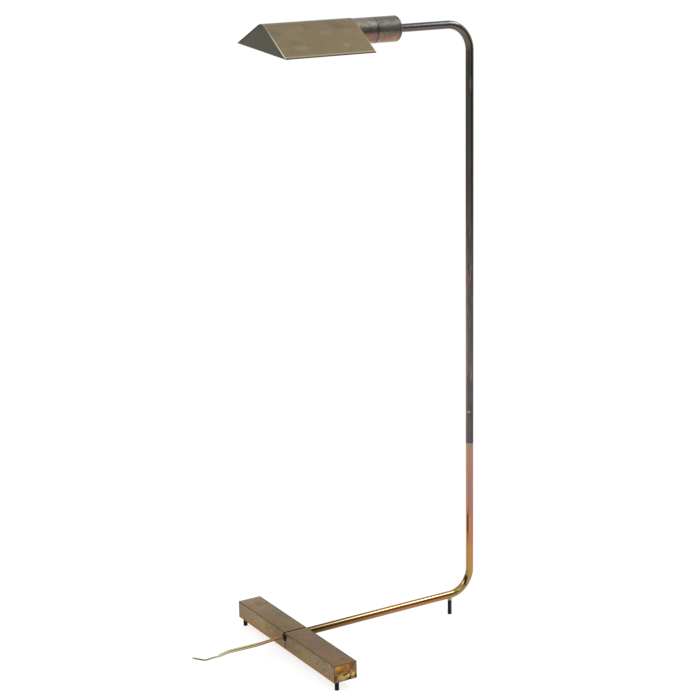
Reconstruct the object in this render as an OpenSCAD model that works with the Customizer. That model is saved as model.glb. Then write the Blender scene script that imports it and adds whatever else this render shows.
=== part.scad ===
// Brass floor lamp: a bent tube post on a heavy cross bar, with a tent shade on the arm.
// Millimetres. +Z is up, +X runs from the cross bar to the post, +Y runs along the bar.
// The origin is on the floor, under the middle of the lamp's length.

/* [Tube] */
// Outer diameter of the post and the arm
tube_d = 12.7; // [11:0.1:15]
// Wall of the post and the arm
tube_wall = 1.2; // [0.8:0.1:1.4]
// Height of the arm's axis above the floor
arm_z = 969; // [850:1:1200]
// Centreline radius of the bend at the foot of the post
lower_bend_r = 39.5; // [30:0.5:60]
// Centreline radius of the bend at the top of the post
upper_bend_r = 41.5; // [30:0.5:60]
// Height of the line where the lower tube meets the upper tube
joint_z = 292.5; // [220:0.5:380]

/* [Base bar] */
// Distance from the post's axis to the middle of the bar
bar_reach = 334.6; // [280:0.1:400]
// Length of the bar
bar_l = 304.8; // [240:0.1:360]
// Width of the bar
bar_w = 40; // [32:0.5:60]
// Height of the bar
bar_h = 27.6; // [22:0.1:36]
// Chamfer along the bar's edges
bar_chamfer = 0.6; // [0.2:0.1:2]
// Brass left over the tube at the top of the bar
tube_cover = 1.65; // [1:0.05:4]
// Width of the slit sawn over the tube
slit_w = 1.4; // [0.6:0.1:2]
// Diameter of the grub screws that hold the tube in the bar
grub_d = 5; // [3:0.5:6]
// Distance between the grub screws
grub_pitch = 20; // [10:1:24]

/* [Feet] */
// Height of the bar's underside above the floor
foot_h = 14.7; // [13:0.1:26]
// Outer diameter of a foot
foot_d = 6.8; // [6.4:0.1:9]
// Diameter of the stud inside a foot
stud_d = 4; // [3:0.5:4.5]
// Depth of a front stud in the bar
stud_depth = 10; // [6:1:16]
// Rubber left under the stud
foot_pad = 6; // [4:0.5:9]
// Distance from the bar's front face to the front feet
foot_front_inset = 8.1; // [6:0.1:16]
// Distance from the bar's ends to the front feet
foot_end_inset = 6.5; // [5:0.5:30]
// Distance from the start of the lower bend forward to the rear foot
rear_foot_ahead = 0.5; // [0.5:0.5:80]
// Height of the brass collar of the rear foot
collar_h = 3; // [2:0.5:8]

/* [Telescopic joint] */
// Wall of the swivel bush and of the guide bush
bush_wall = 0.85; // [0.6:0.05:1.2]
// Wall of the inner slide tube
inner_wall = 1; // [0.6:0.1:1.1]
// Height the post can be raised by
travel = 200; // [120:5:240]
// Length of the swivel bush and of the guide bush
bush_l = 40; // [25:1:60]
// Length of the piston at the top of the inner tube
piston_l = 20; // [12:1:30]
// Inner tube that stays in the upper tube when the post is raised
overlap_l = 70; // [40:5:90]
// Thickness of the collar and the ring that hold the inner tube
ring_t = 2.5; // [1.5:0.5:4]

/* [Barrel] */
// Outer diameter of the barrel
barrel_d = 39.2; // [36:0.1:44]
// Wall of the barrel
barrel_wall = 1.3; // [0.8:0.1:2]
// Distance from the post's axis to the barrel's rear end
knob_reach = 134; // [110:1:180]
// Length of the turning rear section
knob_l = 43; // [36:0.5:60]
// Thickness of the rear section's end wall
knob_floor = 2; // [1:0.1:4]
// Radius of the rounded rear edge
knob_round = 3.5; // [1:0.5:6]
// Gap between the two barrel sections
seam_gap = 0.6; // [0.3:0.1:1.5]
// Length of the front section that shows behind the shade
neck_l = 36.35; // [30:0.05:60]
// Length of the front section inside the shade
neck_in_shade = 26; // [16:1:30]
// Depth of the bulkhead in the front section
bulkhead_set = 2.4; // [1:0.1:6]
// Thickness of the bulkhead
bulkhead_t = 6; // [4:0.5:10]
// Distance from the rear section's end wall to the wiper ring
wiper_set = 4; // [1:0.5:6]
// Thickness of the wiper ring that the rear section carries
wiper_t = 5; // [2:0.5:6]
// Height of the wiper's brushes
brush_h = 5; // [3:0.5:6]

/* [Spindle] */
// Diameter of the spindle's journal
journal_d = 10; // [9:0.5:11]
// Diameter of the spindle's flange
flange_d = 15.6; // [14.8:0.2:17]
// Thickness of the spindle's flange
flange_t = 7.7; // [4:0.1:10]
// Length of the spindle's plug inside the arm
plug_l = 22; // [14:1:34]
// Diameter of the spindle's thread
thread_d = 8; // [7:0.5:8.5]
// Width of the nut across its corners
nut_d = 15; // [13:0.5:16]
// Thickness of the nut
nut_t = 6; // [4:0.5:7]
// Outer diameter of the spring washer
washer_d = 17; // [14:0.5:18]
// Thickness of the spring washer
washer_t = 1.5; // [0.8:0.1:2]
// Length of thread that stands past the nut
thread_past = 2; // [1:0.5:4]

/* [Lampholder and bulb] */
// Room for the wires between the spindle and the lampholder
holder_room = 8.2; // [5:0.1:14]
// Clearance round the lampholder
holder_clear = 0.95; // [0.5:0.05:1.5]
// Thickness of the lampholder's floor
holder_floor = 7; // [5:0.5:9]
// Outer diameter of the lampholder's brass shell
shell_d = 27.2; // [26.6:0.1:28.4]
// Wall of the lampholder's brass shell
shell_wall = 0.5; // [0.3:0.1:0.6]
// Diameter of the centre contact
contact_d = 8; // [6:0.5:12]
// Height of the centre contact
contact_h = 2.5; // [1.5:0.5:4]
// Distance of the holder's screws and leads from the axis
holder_pitch_r = 12.2; // [11.8:0.1:12.6]
// Diameter of the holder's screws
holder_screw_d = 3; // [2:0.5:3]
// Diameter of the holder screws' heads
screw_head_d = 4; // [3.6:0.1:4.4]
// Height of the holder screws' heads
screw_head_h = 2.4; // [1.5:0.1:3]
// Diameter of the spacers under the lampholder
spacer_d = 5; // [4.5:0.1:5.5]
// Diameter of the leads to the lampholder
lead_d = 2; // [1.5:0.1:2.5]
// Diameter of the bulb's cap
cap_d = 25.6; // [24:0.1:26]
// Length of the bulb's cap
cap_l = 27; // [22:1:30]
// Diameter of the bulb's glass
bulb_d = 28; // [26:0.5:32]
// Wall of the bulb's glass
bulb_wall = 0.9; // [0.6:0.1:1.5]
// Diameter of the bulb's stem at the cap
stem_d = 14; // [8:0.5:18]
// Length of the bulb's stem, and of the filament past it
stem_l = 34; // [20:1:36]
// Distance from the bulb's end to the front plate
bulb_gap = 20; // [10:1:40]

/* [Shade] */
// Length of the shade along the arm
shade_l = 151.6; // [130:0.1:200]
// Width of the shade across its rim
shade_w = 145.6; // [110:0.1:180]
// Slope of the shade's sides from the horizontal
shade_slope = 30; // [24:1:40]
// Thickness of the shade's sheet
shade_t = 0.8; // [0.6:0.1:1.5]
// Thickness of the shade's end plates
plate_t = 1; // [0.8:0.1:2]
// Sheet that stands past each end plate
plate_inset = 1; // [0.5:0.1:4]
// Roll of the shade about the arm, near side down
shade_roll = 5; // [-10:1:10]

/* [Wiring] */
// Diameter of the wire inside the tubes
wire_d = 4.4; // [3:0.1:4.6]
// Width of the flat twin cord
cord_w = 5.8; // [5:0.1:7]
// Thickness of the flat twin cord
cord_t = 2.9; // [2.4:0.1:3.5]
// Length of the cord bush inside the tube
cord_bush_l = 12; // [6:1:20]
// Thickness of the cord bush's flange
cord_bush_flange = 1.4; // [0.8:0.1:2.5]

/* [Clearances] */
// Radial clearance of a shaft in its hole, and of a pressed piece in its seat
fit = 0.05; // [0.02:0.01:0.08]
// Clearance between pieces that move past each other
run_gap = 0.3; // [0.2:0.05:0.5]

/* [Hidden] */
$fn = 64;
// A cut runs this far past the face that it opens
cut = 1;

tube_r = tube_d / 2;
bore_r = tube_r - tube_wall;
barrel_r = barrel_d / 2;
barrel_bore_r = barrel_r - barrel_wall;
inner_r = bore_r - bush_wall - 2 * fit;
inner_bore_r = inner_r - inner_wall;
wire_hole_r = wire_d / 2 + run_gap;

// Places along the arm, measured forward from the post's axis
knob_end = knob_reach + knob_l;
barrel_start = knob_end + seam_gap;
bulkhead_at = barrel_start + bulkhead_set;
bulkhead_end = bulkhead_at + bulkhead_t;
flange_at = bulkhead_at - run_gap - flange_t;
journal_end = bulkhead_end + run_gap;
nut_at = journal_end + washer_t;
thread_end = nut_at + nut_t + thread_past;
knob_bore_at = knob_reach + knob_floor + knob_round / 2;
wiper_at = knob_bore_at + wiper_set;
dimmer_at = wiper_at + wiper_t + brush_h + run_gap;
holder_at = thread_end + holder_room;
holder_r = barrel_bore_r - holder_clear;
contact_at = holder_at + holder_floor;
shade_at = barrel_start + neck_l;
barrel_end = shade_at + neck_in_shade;
cap_at = contact_at + contact_h;
glass_at = cap_at + cap_l;
holder_end = glass_at - run_gap;
shade_end = shade_at + shade_l;
glass_end = shade_end - plate_inset - plate_t - bulb_gap;

// The lamp's length is centred on the origin
front_reach = max(shade_end, bar_reach + bar_w / 2);
post_x = (front_reach - tube_r) / 2;
bar_x = post_x - bar_reach;
bar_front_x = bar_x - bar_w / 2;
bar_top = foot_h + bar_h;
base_tube_z = bar_top - tube_cover - tube_r;
front_foot_x = bar_front_x + foot_front_inset;
front_foot_y = bar_l / 2 - foot_end_inset;
rear_foot_x = post_x - lower_bend_r - rear_foot_ahead;
collar_z = base_tube_z - tube_r - collar_h;

// The telescopic joint, from its lowest ring up
bush_top = joint_z - ring_t - 2 * run_gap;
bush_low = bush_top - bush_l;
inner_low = bush_low - run_gap - 2 * ring_t;
upper_low = joint_z + run_gap;
inner_top = upper_low + bush_l + travel + overlap_l + piston_l;

// The folded sheet lies on the barrel and runs straight down each side
crest_r = barrel_r + fit + shade_t;
side_l = (shade_w / 2 - crest_r * sin(shade_slope)) / cos(shade_slope);
crest_steps = 12;
function crest_arc(r) = [for (i = [0:crest_steps])
    let (a = shade_slope * (2 * i / crest_steps - 1)) [r * cos(a), r * sin(a)]];
function rim(r, side) = [r * cos(shade_slope) - side_l * sin(shade_slope),
    side * (r * sin(shade_slope) + side_l * cos(shade_slope))];
function tent(r) = concat([rim(r, -1)], crest_arc(r), [rim(r, 1)]);
function backwards(list) = [for (i = [len(list) - 1:-1:0]) list[i]];

// Route of the twin cord from the bush's face, which it leaves flat, to its cut end on the floor
cord_route = [[0, 0, 0], [-6, 0, 0.8], [-12, 0.6, 1], [-18, 2, 0.2], [-24, 4.5, -1.5],
    [-29.5, 8, -3.8], [-34.5, 12.5, -6.5], [-39.5, 18, -9.5], [-44.5, 24.5, -12.7], [-49.5, 31, -15.9],
    [-54.5, 37.8, -19.2], [-60.1, 44.2, -22.3], [-66.2, 50, -25], [-72.9, 54.6, -27.5],
    [-80.2, 57.4, -29.7], [-88, 59.2, -31.5]];
// The twin turns on edge by this angle, between these points of its route
cord_turn = 60;
cord_turn_points = [2, 8];
cord_sides = 10;
// Route of the lower core, which carries on past the twin's end
tail_route = [[-90.3, 59.1, -32.9], [-92.6, 59.4, -32.9], [-95.1, 59.4, -32.9], [-97.7, 59.2, -32.9],
    [-100.4, 58.8, -32.9], [-103.1, 58.4, -32.9], [-105.9, 58, -32.9], [-108.7, 57.8, -32.9],
    [-111.1, 58.2, -32.9], [-113.1, 59.5, -32.9], [-114.6, 61.4, -32.9], [-115.9, 63.7, -32.9],
    [-117.4, 66, -32.9], [-118.9, 68.1, -32.9], [-120.6, 70.4, -32.9], [-122.2, 72.8, -32.9],
    [-123.9, 74.8, -32.9]];
tail_d = 2.4;
tail_sides = 8;

// An oval section, w wide and t thick, swept along the points p of a route with headings h
function unit(v) = v / norm(v);
function headings(p, first) = [for (i = [0:len(p) - 1])
    i == 0 ? first : unit(p[min(i + 1, len(p) - 1)] - p[i - 1])];
function across(h) = unit(cross([0, 0, 1], h));
function wide(h, turn) = across(h) * cos(turn) - cross(h, across(h)) * sin(turn);
function ring(p, h, turn, w, t, n) = let (side = wide(h, turn), up = cross(h, side))
    [for (k = [0:n - 1]) p + side * w / 2 * cos(360 * k / n) + up * t / 2 * sin(360 * k / n)];
function turn_at(i) = cord_turn * max(0, min(1,
    (i - cord_turn_points[0]) / (cord_turn_points[1] - cord_turn_points[0])));
module swept(rings, n) {
    last = len(rings) - 1;
    walls = [for (i = [0:last - 1], k = [0:n - 1]) let (a = i * n + k, b = i * n + (k + 1) % n)
        each [[a, b + n, b], [a, a + n, b + n]]];
    ends = [for (k = [1:n - 2]) each [[0, k, k + 1], [last * n, last * n + k + 1, last * n + k]]];
    polyhedron([for (r = rings) each r], concat(walls, ends));
}
cord_headings = headings(cord_route, [-1, 0, 0]);
cord_last = len(cord_route) - 1;
tail_points = concat([cord_route[cord_last]
    + wide(cord_headings[cord_last], cord_turn) * cord_w / 4], tail_route);
tail_headings = headings(tail_points, cord_headings[cord_last]);

// Frames: u runs forward along the arm, and the floor frame runs forward along the base
module at_arm(u) {
    translate([post_x - u, 0, arm_z]) rotate([0, -90, 0]) children();
}
module at_base(u) {
    translate([post_x - u, 0, base_tube_z]) rotate([0, -90, 0]) children();
}
module at_post(z) {
    translate([post_x, 0, z]) children();
}
module rolled() {
    rotate([0, 0, -shade_roll]) children();
}
module sleeve(r_out, r_in, l) {
    difference() {
        cylinder(r = r_out, h = l);
        translate([0, 0, -cut]) cylinder(r = r_in, h = l + 2 * cut);
    }
}
module quarter_bend(bend_r, r, start) {
    rotate([90, 0, 0]) rotate([0, 0, start]) rotate_extrude(angle = 90)
        translate([bend_r, 0]) circle(r = r);
}
// The solid run of the base, from the front end u to the height top, and of the post and arm
module base_run(r, u, top) {
    at_base(lower_bend_r) cylinder(r = r, h = u - lower_bend_r);
    translate([post_x - lower_bend_r, 0, base_tube_z + lower_bend_r])
        quarter_bend(lower_bend_r, r, -90);
    at_post(base_tube_z + lower_bend_r) cylinder(r = r, h = top - base_tube_z - lower_bend_r);
}
module post_run(r, low, u) {
    bend_z = arm_z - upper_bend_r;
    at_post(bend_z) mirror([0, 0, 1]) cylinder(r = r, h = bend_z - low);
    translate([post_x - upper_bend_r, 0, bend_z]) quarter_bend(upper_bend_r, r, 0);
    at_arm(upper_bend_r) cylinder(r = r, h = u - upper_bend_r);
}
module at_front_feet() {
    for (side = [-1, 1]) translate([front_foot_x, side * front_foot_y, 0]) children();
}
module at_grubs() {
    for (side = [-1, 1]) translate([bar_x + side * grub_pitch / 2, 0, foot_h]) children();
}
module at_holder_screws() {
    for (side = [-1, 1]) translate([side * holder_pitch_r, 0, 0]) children();
}
module at_holder_leads() {
    for (side = [-1, 1]) translate([0, side * holder_pitch_r, 0]) children();
}

// Cast bar, drilled for the tube and slit above it
module base_bar() {
    color("darkgoldenrod") difference() {
        translate([bar_x, bar_l / 2, foot_h]) rotate([90, 0, 0]) linear_extrude(bar_l)
            polygon([[bar_chamfer - bar_w / 2, 0], [bar_w / 2 - bar_chamfer, 0],
                [bar_w / 2, bar_chamfer], [bar_w / 2, bar_h - bar_chamfer],
                [bar_w / 2 - bar_chamfer, bar_h], [bar_chamfer - bar_w / 2, bar_h],
                [-bar_w / 2, bar_h - bar_chamfer], [-bar_w / 2, bar_chamfer]]);
        at_base(bar_reach - bar_w / 2 - cut) cylinder(r = tube_r + fit, h = bar_w + 2 * cut);
        translate([bar_front_x - cut, -slit_w / 2, base_tube_z])
            cube([bar_w + 2 * cut, slit_w, tube_r + tube_cover + cut]);
        at_front_feet() translate([0, 0, foot_h - cut])
            cylinder(d = stud_d + 2 * fit, h = stud_depth + cut);
        at_grubs() translate([0, 0, -cut]) cylinder(d = grub_d + 2 * fit, h = base_tube_z - foot_h);
    }
}
module base_tube() {
    color("goldenrod") difference() {
        base_run(tube_r, bar_reach + bar_w / 2 - cord_bush_flange, joint_z);
        base_run(bore_r, bar_reach + bar_w / 2 + cut, joint_z + cut);
        translate([rear_foot_x, 0, collar_z]) cylinder(d = stud_d + 2 * fit, h = collar_h + tube_r);
    }
}
module tube_grub_screws() {
    socket_d = grub_d * 0.55;
    socket_h = grub_d * 0.6;
    color("dimgray") at_grubs() difference() {
        translate([0, 0, cut]) cylinder(d = grub_d, h = base_tube_z - tube_r - foot_h - cut);
        cylinder(d = socket_d, h = cut + socket_h, $fn = 6);
    }
}
module cord_bush() {
    color("black") at_base(bar_reach + bar_w / 2) rotate([180, 0, 0]) difference() {
        union() {
            cylinder(r = tube_r, h = cord_bush_flange);
            cylinder(r = bore_r - fit, h = cord_bush_flange + cord_bush_l);
        }
        translate([0, 0, -cut])
            cylinder(r = wire_hole_r, h = cord_bush_flange + cord_bush_l + 2 * cut);
    }
}
module front_foot_studs() {
    color("goldenrod") at_front_feet() translate([0, 0, foot_pad])
        cylinder(d = stud_d, h = foot_h - foot_pad + stud_depth);
}
module front_foot_sleeves() {
    color([0.06, 0.06, 0.06]) at_front_feet() difference() {
        cylinder(d = foot_d, h = foot_h);
        translate([0, 0, foot_pad]) cylinder(d = stud_d + 2 * fit, h = foot_h);
    }
}
// Turned stud of the rear foot, with a collar shaped to the tube
module rear_foot_stud() {
    color("goldenrod") translate([rear_foot_x, 0, 0]) {
        translate([0, 0, foot_pad])
            cylinder(d = stud_d, h = base_tube_z - bore_r - foot_pad);
        difference() {
            translate([0, 0, collar_z]) cylinder(d = foot_d, h = collar_h + tube_r / 2);
            translate([-foot_d, 0, base_tube_z]) rotate([0, 90, 0])
                cylinder(r = tube_r, h = 2 * foot_d);
        }
    }
}
module rear_foot_sleeve() {
    color([0.06, 0.06, 0.06]) translate([rear_foot_x, 0, 0]) difference() {
        cylinder(d = foot_d, h = collar_z);
        translate([0, 0, foot_pad]) cylinder(d = stud_d + 2 * fit, h = collar_z);
    }
}
module swivel_bush() {
    color("peru") at_post(bush_low) sleeve(bore_r - fit, inner_r + fit, bush_l);
}
module base_wire() {
    color("darkgoldenrod") base_run(wire_d / 2, bar_reach + bar_w / 2, inner_top);
}
module at_cord_exit() {
    translate([bar_front_x, 0, base_tube_z]) children();
}
module cord_free() {
    color("gold") at_cord_exit() swept([for (i = [0:cord_last])
        ring(cord_route[i], cord_headings[i], turn_at(i), cord_w, cord_t, cord_sides)], cord_sides);
}
module cord_tail() {
    color("gold") at_cord_exit() swept([for (i = [0:len(tail_points) - 1])
        ring(tail_points[i], tail_headings[i], 0, tail_d, tail_d, tail_sides)], tail_sides);
}

// Inner tube that the post turns and slides on, held in the base by a collar and a ring
module inner_tube() {
    color("silver") at_post(inner_low) sleeve(inner_r, inner_bore_r, inner_top - inner_low);
}
module thrust_collar() {
    color("silver") at_post(bush_top + run_gap)
        sleeve(bore_r - run_gap, inner_r + fit, ring_t);
}
module retaining_ring() {
    color("silver") at_post(bush_low - run_gap - ring_t)
        sleeve(bore_r - run_gap, inner_r + fit, ring_t);
}
module slide_piston() {
    color("ivory") at_post(inner_top - piston_l) sleeve(bore_r - fit, inner_r + fit, piston_l);
}

module upper_tube() {
    color("goldenrod") difference() {
        post_run(tube_r, upper_low, flange_at);
        post_run(bore_r, upper_low - cut, flange_at + cut);
    }
}
module guide_bush() {
    color("peru") at_post(upper_low) sleeve(bore_r - fit, inner_r + fit, bush_l);
}
// Hollow spindle: plug in the arm, flange, journal for the bulkhead and thread for the nut
module arm_spindle() {
    color("goldenrod") difference() {
        union() {
            at_arm(flange_at - plug_l) cylinder(r = bore_r - fit, h = plug_l + flange_t);
            at_arm(flange_at) cylinder(d = flange_d, h = flange_t);
            at_arm(flange_at) cylinder(d = journal_d, h = journal_end - flange_at);
            at_arm(flange_at) cylinder(d = thread_d, h = thread_end - flange_at);
        }
        at_arm(flange_at - plug_l - cut)
            cylinder(r = wire_hole_r, h = thread_end - flange_at + plug_l + 2 * cut);
    }
}
module spindle_washer() {
    color("silver") at_arm(journal_end) sleeve(washer_d / 2, thread_d / 2 + fit, washer_t);
}
module spindle_nut() {
    color("goldenrod") at_arm(nut_at) difference() {
        cylinder(d = nut_d, h = nut_t, $fn = 6);
        translate([0, 0, -cut]) cylinder(d = thread_d + 2 * fit, h = nut_t + 2 * cut);
    }
}
module post_wire() {
    color("darkgoldenrod") post_run(wire_d / 2, inner_top + 2 * piston_l, thread_end);
}

// Turned cup with a rounded rear edge, which runs on the dimmer
module dimmer_knob() {
    color("darkgoldenrod") at_arm(knob_reach) difference() {
        rotate_extrude() union() {
            translate([0, knob_round]) square([barrel_r, knob_l - knob_round]);
            square([barrel_r - knob_round, knob_round]);
            translate([barrel_r - knob_round, knob_round]) circle(r = knob_round);
        }
        translate([0, 0, knob_bore_at - knob_reach]) cylinder(r = barrel_bore_r, h = knob_l + cut);
        translate([0, 0, -cut]) cylinder(r = tube_r + run_gap, h = knob_l);
    }
}
module dimmer_wiper() {
    brush_r = (barrel_bore_r - flange_d / 2) / 8;
    brush_pitch_r = (barrel_bore_r + flange_d / 2) / 2;
    color("silver") {
        at_arm(wiper_at) sleeve(barrel_bore_r - fit, flange_d / 2 + run_gap, wiper_t);
        for (side = [-1, 1]) at_arm(wiper_at + wiper_t)
            translate([0, side * brush_pitch_r, 0]) cylinder(r = brush_r, h = brush_h);
    }
}
module dimmer_body() {
    color("dimgray") at_arm(dimmer_at)
        sleeve(barrel_bore_r - fit, flange_d / 2 + run_gap, bulkhead_at - dimmer_at);
}
module front_barrel() {
    color("darkgoldenrod") difference() {
        union() {
            at_arm(barrel_start) sleeve(barrel_r, barrel_bore_r, barrel_end - barrel_start);
            at_arm(bulkhead_at) cylinder(r = barrel_bore_r + barrel_wall / 2, h = bulkhead_t);
        }
        at_arm(bulkhead_at - cut) cylinder(d = journal_d + 2 * fit, h = bulkhead_t + 2 * cut);
        at_arm(bulkhead_at - cut) rolled() {
            at_holder_screws() cylinder(d = holder_screw_d + 2 * fit, h = bulkhead_t + 2 * cut);
            at_holder_leads() cylinder(d = lead_d + 2 * run_gap, h = bulkhead_t + 2 * cut);
        }
    }
}
module lampholder_body() {
    color("white") at_arm(holder_at) rolled() difference() {
        cylinder(r = holder_r, h = holder_end - holder_at);
        translate([0, 0, holder_floor])
            cylinder(d = shell_d + 2 * fit, h = holder_end - holder_at);
        at_holder_screws() {
            translate([0, 0, -cut])
                cylinder(d = holder_screw_d + 2 * fit, h = holder_floor + 2 * cut);
            translate([0, 0, holder_floor - screw_head_h])
                cylinder(d = screw_head_d + 2 * fit, h = screw_head_h + cut);
        }
    }
}
module lampholder_shell() {
    color("goldenrod") at_arm(contact_at)
        sleeve(shell_d / 2, shell_d / 2 - shell_wall, holder_end - contact_at);
}
module lampholder_contact() {
    color("goldenrod") at_arm(contact_at) cylinder(d = contact_d, h = contact_h);
}
module holder_spacers() {
    color("silver") at_arm(bulkhead_end) rolled() at_holder_screws()
        sleeve(spacer_d / 2, holder_screw_d / 2 + fit, holder_at - bulkhead_end);
}
module holder_screws() {
    color("silver") at_arm(bulkhead_at) rolled() at_holder_screws() {
        cylinder(d = holder_screw_d, h = contact_at - bulkhead_at);
        translate([0, 0, contact_at - screw_head_h - bulkhead_at])
            cylinder(d = screw_head_d, h = screw_head_h);
    }
}
module holder_leads() {
    color("gold") at_arm(bulkhead_at) rolled() at_holder_leads()
        cylinder(d = lead_d, h = holder_at - bulkhead_at);
}

module bulb_cap() {
    color("silver") at_arm(cap_at) union() {
        cylinder(d1 = contact_d, d2 = cap_d, h = cap_l / 5);
        translate([0, 0, cap_l / 5]) cylinder(d = cap_d, h = cap_l * 4 / 5);
    }
}
// Tubular envelope with a domed end, seated on the cap and open round the stem
module bulb_shape(r, low, high) {
    translate([0, 0, low]) cylinder(r = r, h = high - r - low);
    translate([0, 0, high - r]) sphere(r = r);
}
module bulb_glass() {
    glass_l = glass_end - glass_at;
    color("whitesmoke", 0.6) at_arm(glass_at) difference() {
        bulb_shape(bulb_d / 2, 0, glass_l);
        bulb_shape(bulb_d / 2 - bulb_wall, bulb_wall, glass_l - bulb_wall);
        translate([0, 0, -cut]) cylinder(d = stem_d + 2 * fit, h = 2 * cut);
    }
}
module bulb_filament() {
    filament_d = bulb_wall;
    color("gray") at_arm(glass_at) {
        cylinder(d1 = stem_d, d2 = stem_d / 2, h = stem_l);
        translate([0, 0, stem_l]) cylinder(d = filament_d, h = stem_l);
    }
}

// Sheet folded over the barrel, open below, with a plate soldered in each end
module shade_tent() {
    color("darkgoldenrod") at_arm(shade_at) rolled() linear_extrude(shade_l)
        polygon(concat(tent(crest_r), backwards(tent(crest_r - shade_t))));
}
module shade_front_plate() {
    color("darkolivegreen") at_arm(shade_end - plate_inset - plate_t) rolled()
        linear_extrude(plate_t) polygon(tent(crest_r - shade_t - fit));
}
module shade_rear_plate() {
    color("darkolivegreen") at_arm(shade_at + plate_inset) difference() {
        rolled() linear_extrude(plate_t) polygon(tent(crest_r - shade_t - fit));
        translate([0, 0, -cut]) cylinder(r = barrel_r + fit, h = plate_t + 2 * cut);
    }
}

base_bar();
base_tube();
tube_grub_screws();
cord_bush();
front_foot_studs();
front_foot_sleeves();
rear_foot_stud();
rear_foot_sleeve();
swivel_bush();
base_wire();
cord_free();
cord_tail();
inner_tube();
thrust_collar();
retaining_ring();
slide_piston();
upper_tube();
guide_bush();
arm_spindle();
spindle_washer();
spindle_nut();
post_wire();
dimmer_knob();
dimmer_wiper();
dimmer_body();
front_barrel();
lampholder_body();
lampholder_shell();
lampholder_contact();
holder_spacers();
holder_screws();
holder_leads();
bulb_cap();
bulb_glass();
bulb_filament();
shade_tent();
shade_front_plate();
shade_rear_plate();
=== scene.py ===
# Brass floor lamp: a bent tube post on a heavy cross bar, with a tent shade on the arm.
# Metres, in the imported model's frame. Sections follow the lamp as it is put together.
import math

import bmesh
import bpy
from mathutils import Matrix, Vector


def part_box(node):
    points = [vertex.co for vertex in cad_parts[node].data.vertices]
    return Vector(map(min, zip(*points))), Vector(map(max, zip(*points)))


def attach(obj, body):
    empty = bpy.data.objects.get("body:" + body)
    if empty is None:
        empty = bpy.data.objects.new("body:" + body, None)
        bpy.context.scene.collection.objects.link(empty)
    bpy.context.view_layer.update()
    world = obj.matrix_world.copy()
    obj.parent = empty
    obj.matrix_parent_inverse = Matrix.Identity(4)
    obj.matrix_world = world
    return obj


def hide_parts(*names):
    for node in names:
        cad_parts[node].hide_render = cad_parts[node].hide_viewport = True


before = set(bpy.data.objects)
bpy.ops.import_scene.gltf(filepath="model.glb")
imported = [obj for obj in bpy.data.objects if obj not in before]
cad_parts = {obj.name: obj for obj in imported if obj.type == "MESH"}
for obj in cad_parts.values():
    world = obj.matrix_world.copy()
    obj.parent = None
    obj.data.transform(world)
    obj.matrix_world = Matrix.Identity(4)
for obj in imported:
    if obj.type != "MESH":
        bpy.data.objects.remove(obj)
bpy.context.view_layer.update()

scene = bpy.context.scene
scene.view_settings.view_transform = "Standard"


# Camera: it stands ahead of the bar and to its near side, a little above the arm, and looks down
# on the lamp through a long lens, so that the whole height fills a square picture.
def placed(name, data):
    """An object in the scene, at its origin."""
    made = bpy.data.objects.new(name, data)
    scene.collection.objects.link(made)
    return made


camera_place = Vector((-1.475067, -2.366866, 1.223854))
yaw, pitch, roll = (math.radians(turn) for turn in (-31.1337, -15.0063, -0.98))
camera_data = bpy.data.cameras.new("camera")
camera_data.lens = 95.2266
camera_data.sensor_width = 36
camera = placed("camera", camera_data)
scene.camera = camera
ahead = Vector((-math.sin(yaw) * math.cos(pitch), math.cos(yaw) * math.cos(pitch), math.sin(pitch)))
level = Vector((ahead.y, -ahead.x, 0)).normalized()
over = level.cross(ahead)
camera_right = math.cos(roll) * level + math.sin(roll) * over
camera_up = math.cos(roll) * over - math.sin(roll) * level
turned_camera = Matrix((camera_right, camera_up, -ahead)).transposed().to_4x4()
camera.matrix_world = Matrix.Translation(camera_place) @ turned_camera


# Twin cord: a flat flex of two stranded cores in clear, gold-tinted insulation. It comes out of the
# bush in the bar's front face, drops to the floor and is cut off there.
def srgb(red, green, blue):
    """A colour as it shows on a screen, in the linear values that a socket takes."""
    tones = [value / 255 for value in (red, green, blue)]
    return tuple(t / 12.92 if t <= 0.04045 else ((t + 0.055) / 1.055) ** 2.4 for t in tones) + (1,)


def add_node(tree, kind, wires=None, **settings):
    """A node with its settings made and its inputs filled from values or from other nodes."""
    made = tree.nodes.new(kind)
    for name, value in settings.items():
        setattr(made, name, value)
    for name, value in (wires or {}).items():
        if isinstance(value, bpy.types.NodeSocket):
            tree.links.new(value, made.inputs[name])
        else:
            made.inputs[name].default_value = value
    return made


def counted(tree, operation, first, second=0.0):
    """The result of a sum on one or two values."""
    return add_node(tree, "ShaderNodeMath", {0: first, 1: second}, operation=operation).outputs[0]


def product(tree, *values):
    """Values multiplied with each other."""
    result = values[0]
    for value in values[1:]:
        result = counted(tree, "MULTIPLY", result, value)
    return result


def apart(tree, value, middle=0.0):
    """How far a value is from the middle, either way."""
    return counted(tree, "ABSOLUTE", counted(tree, "SUBTRACT", value, middle))


def spanned(tree, value, low, high, to_low=0.0, to_high=1.0, ease="LINEAR"):
    """A value moved from one span to another, and held inside it."""
    wires = {"Value": value, "From Min": low, "From Max": high, "To Min": to_low, "To Max": to_high}
    return add_node(tree, "ShaderNodeMapRange", wires, interpolation_type=ease).outputs["Result"]


def banded(tree, value, *stops):
    """A colour read off a row of (value, colour) stops, in rising order."""
    low, high = stops[0][0], stops[-1][0]
    ramp = add_node(tree, "ShaderNodeValToRGB", {"Fac": spanned(tree, value, low, high)})
    points = ramp.color_ramp.elements
    while len(points) < len(stops):
        points.new(1.0)
    for point, (at, colour) in zip(points, stops):
        point.position = (at - low) / (high - low)
        point.color = srgb(*colour)
    return ramp.outputs["Color"]


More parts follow.
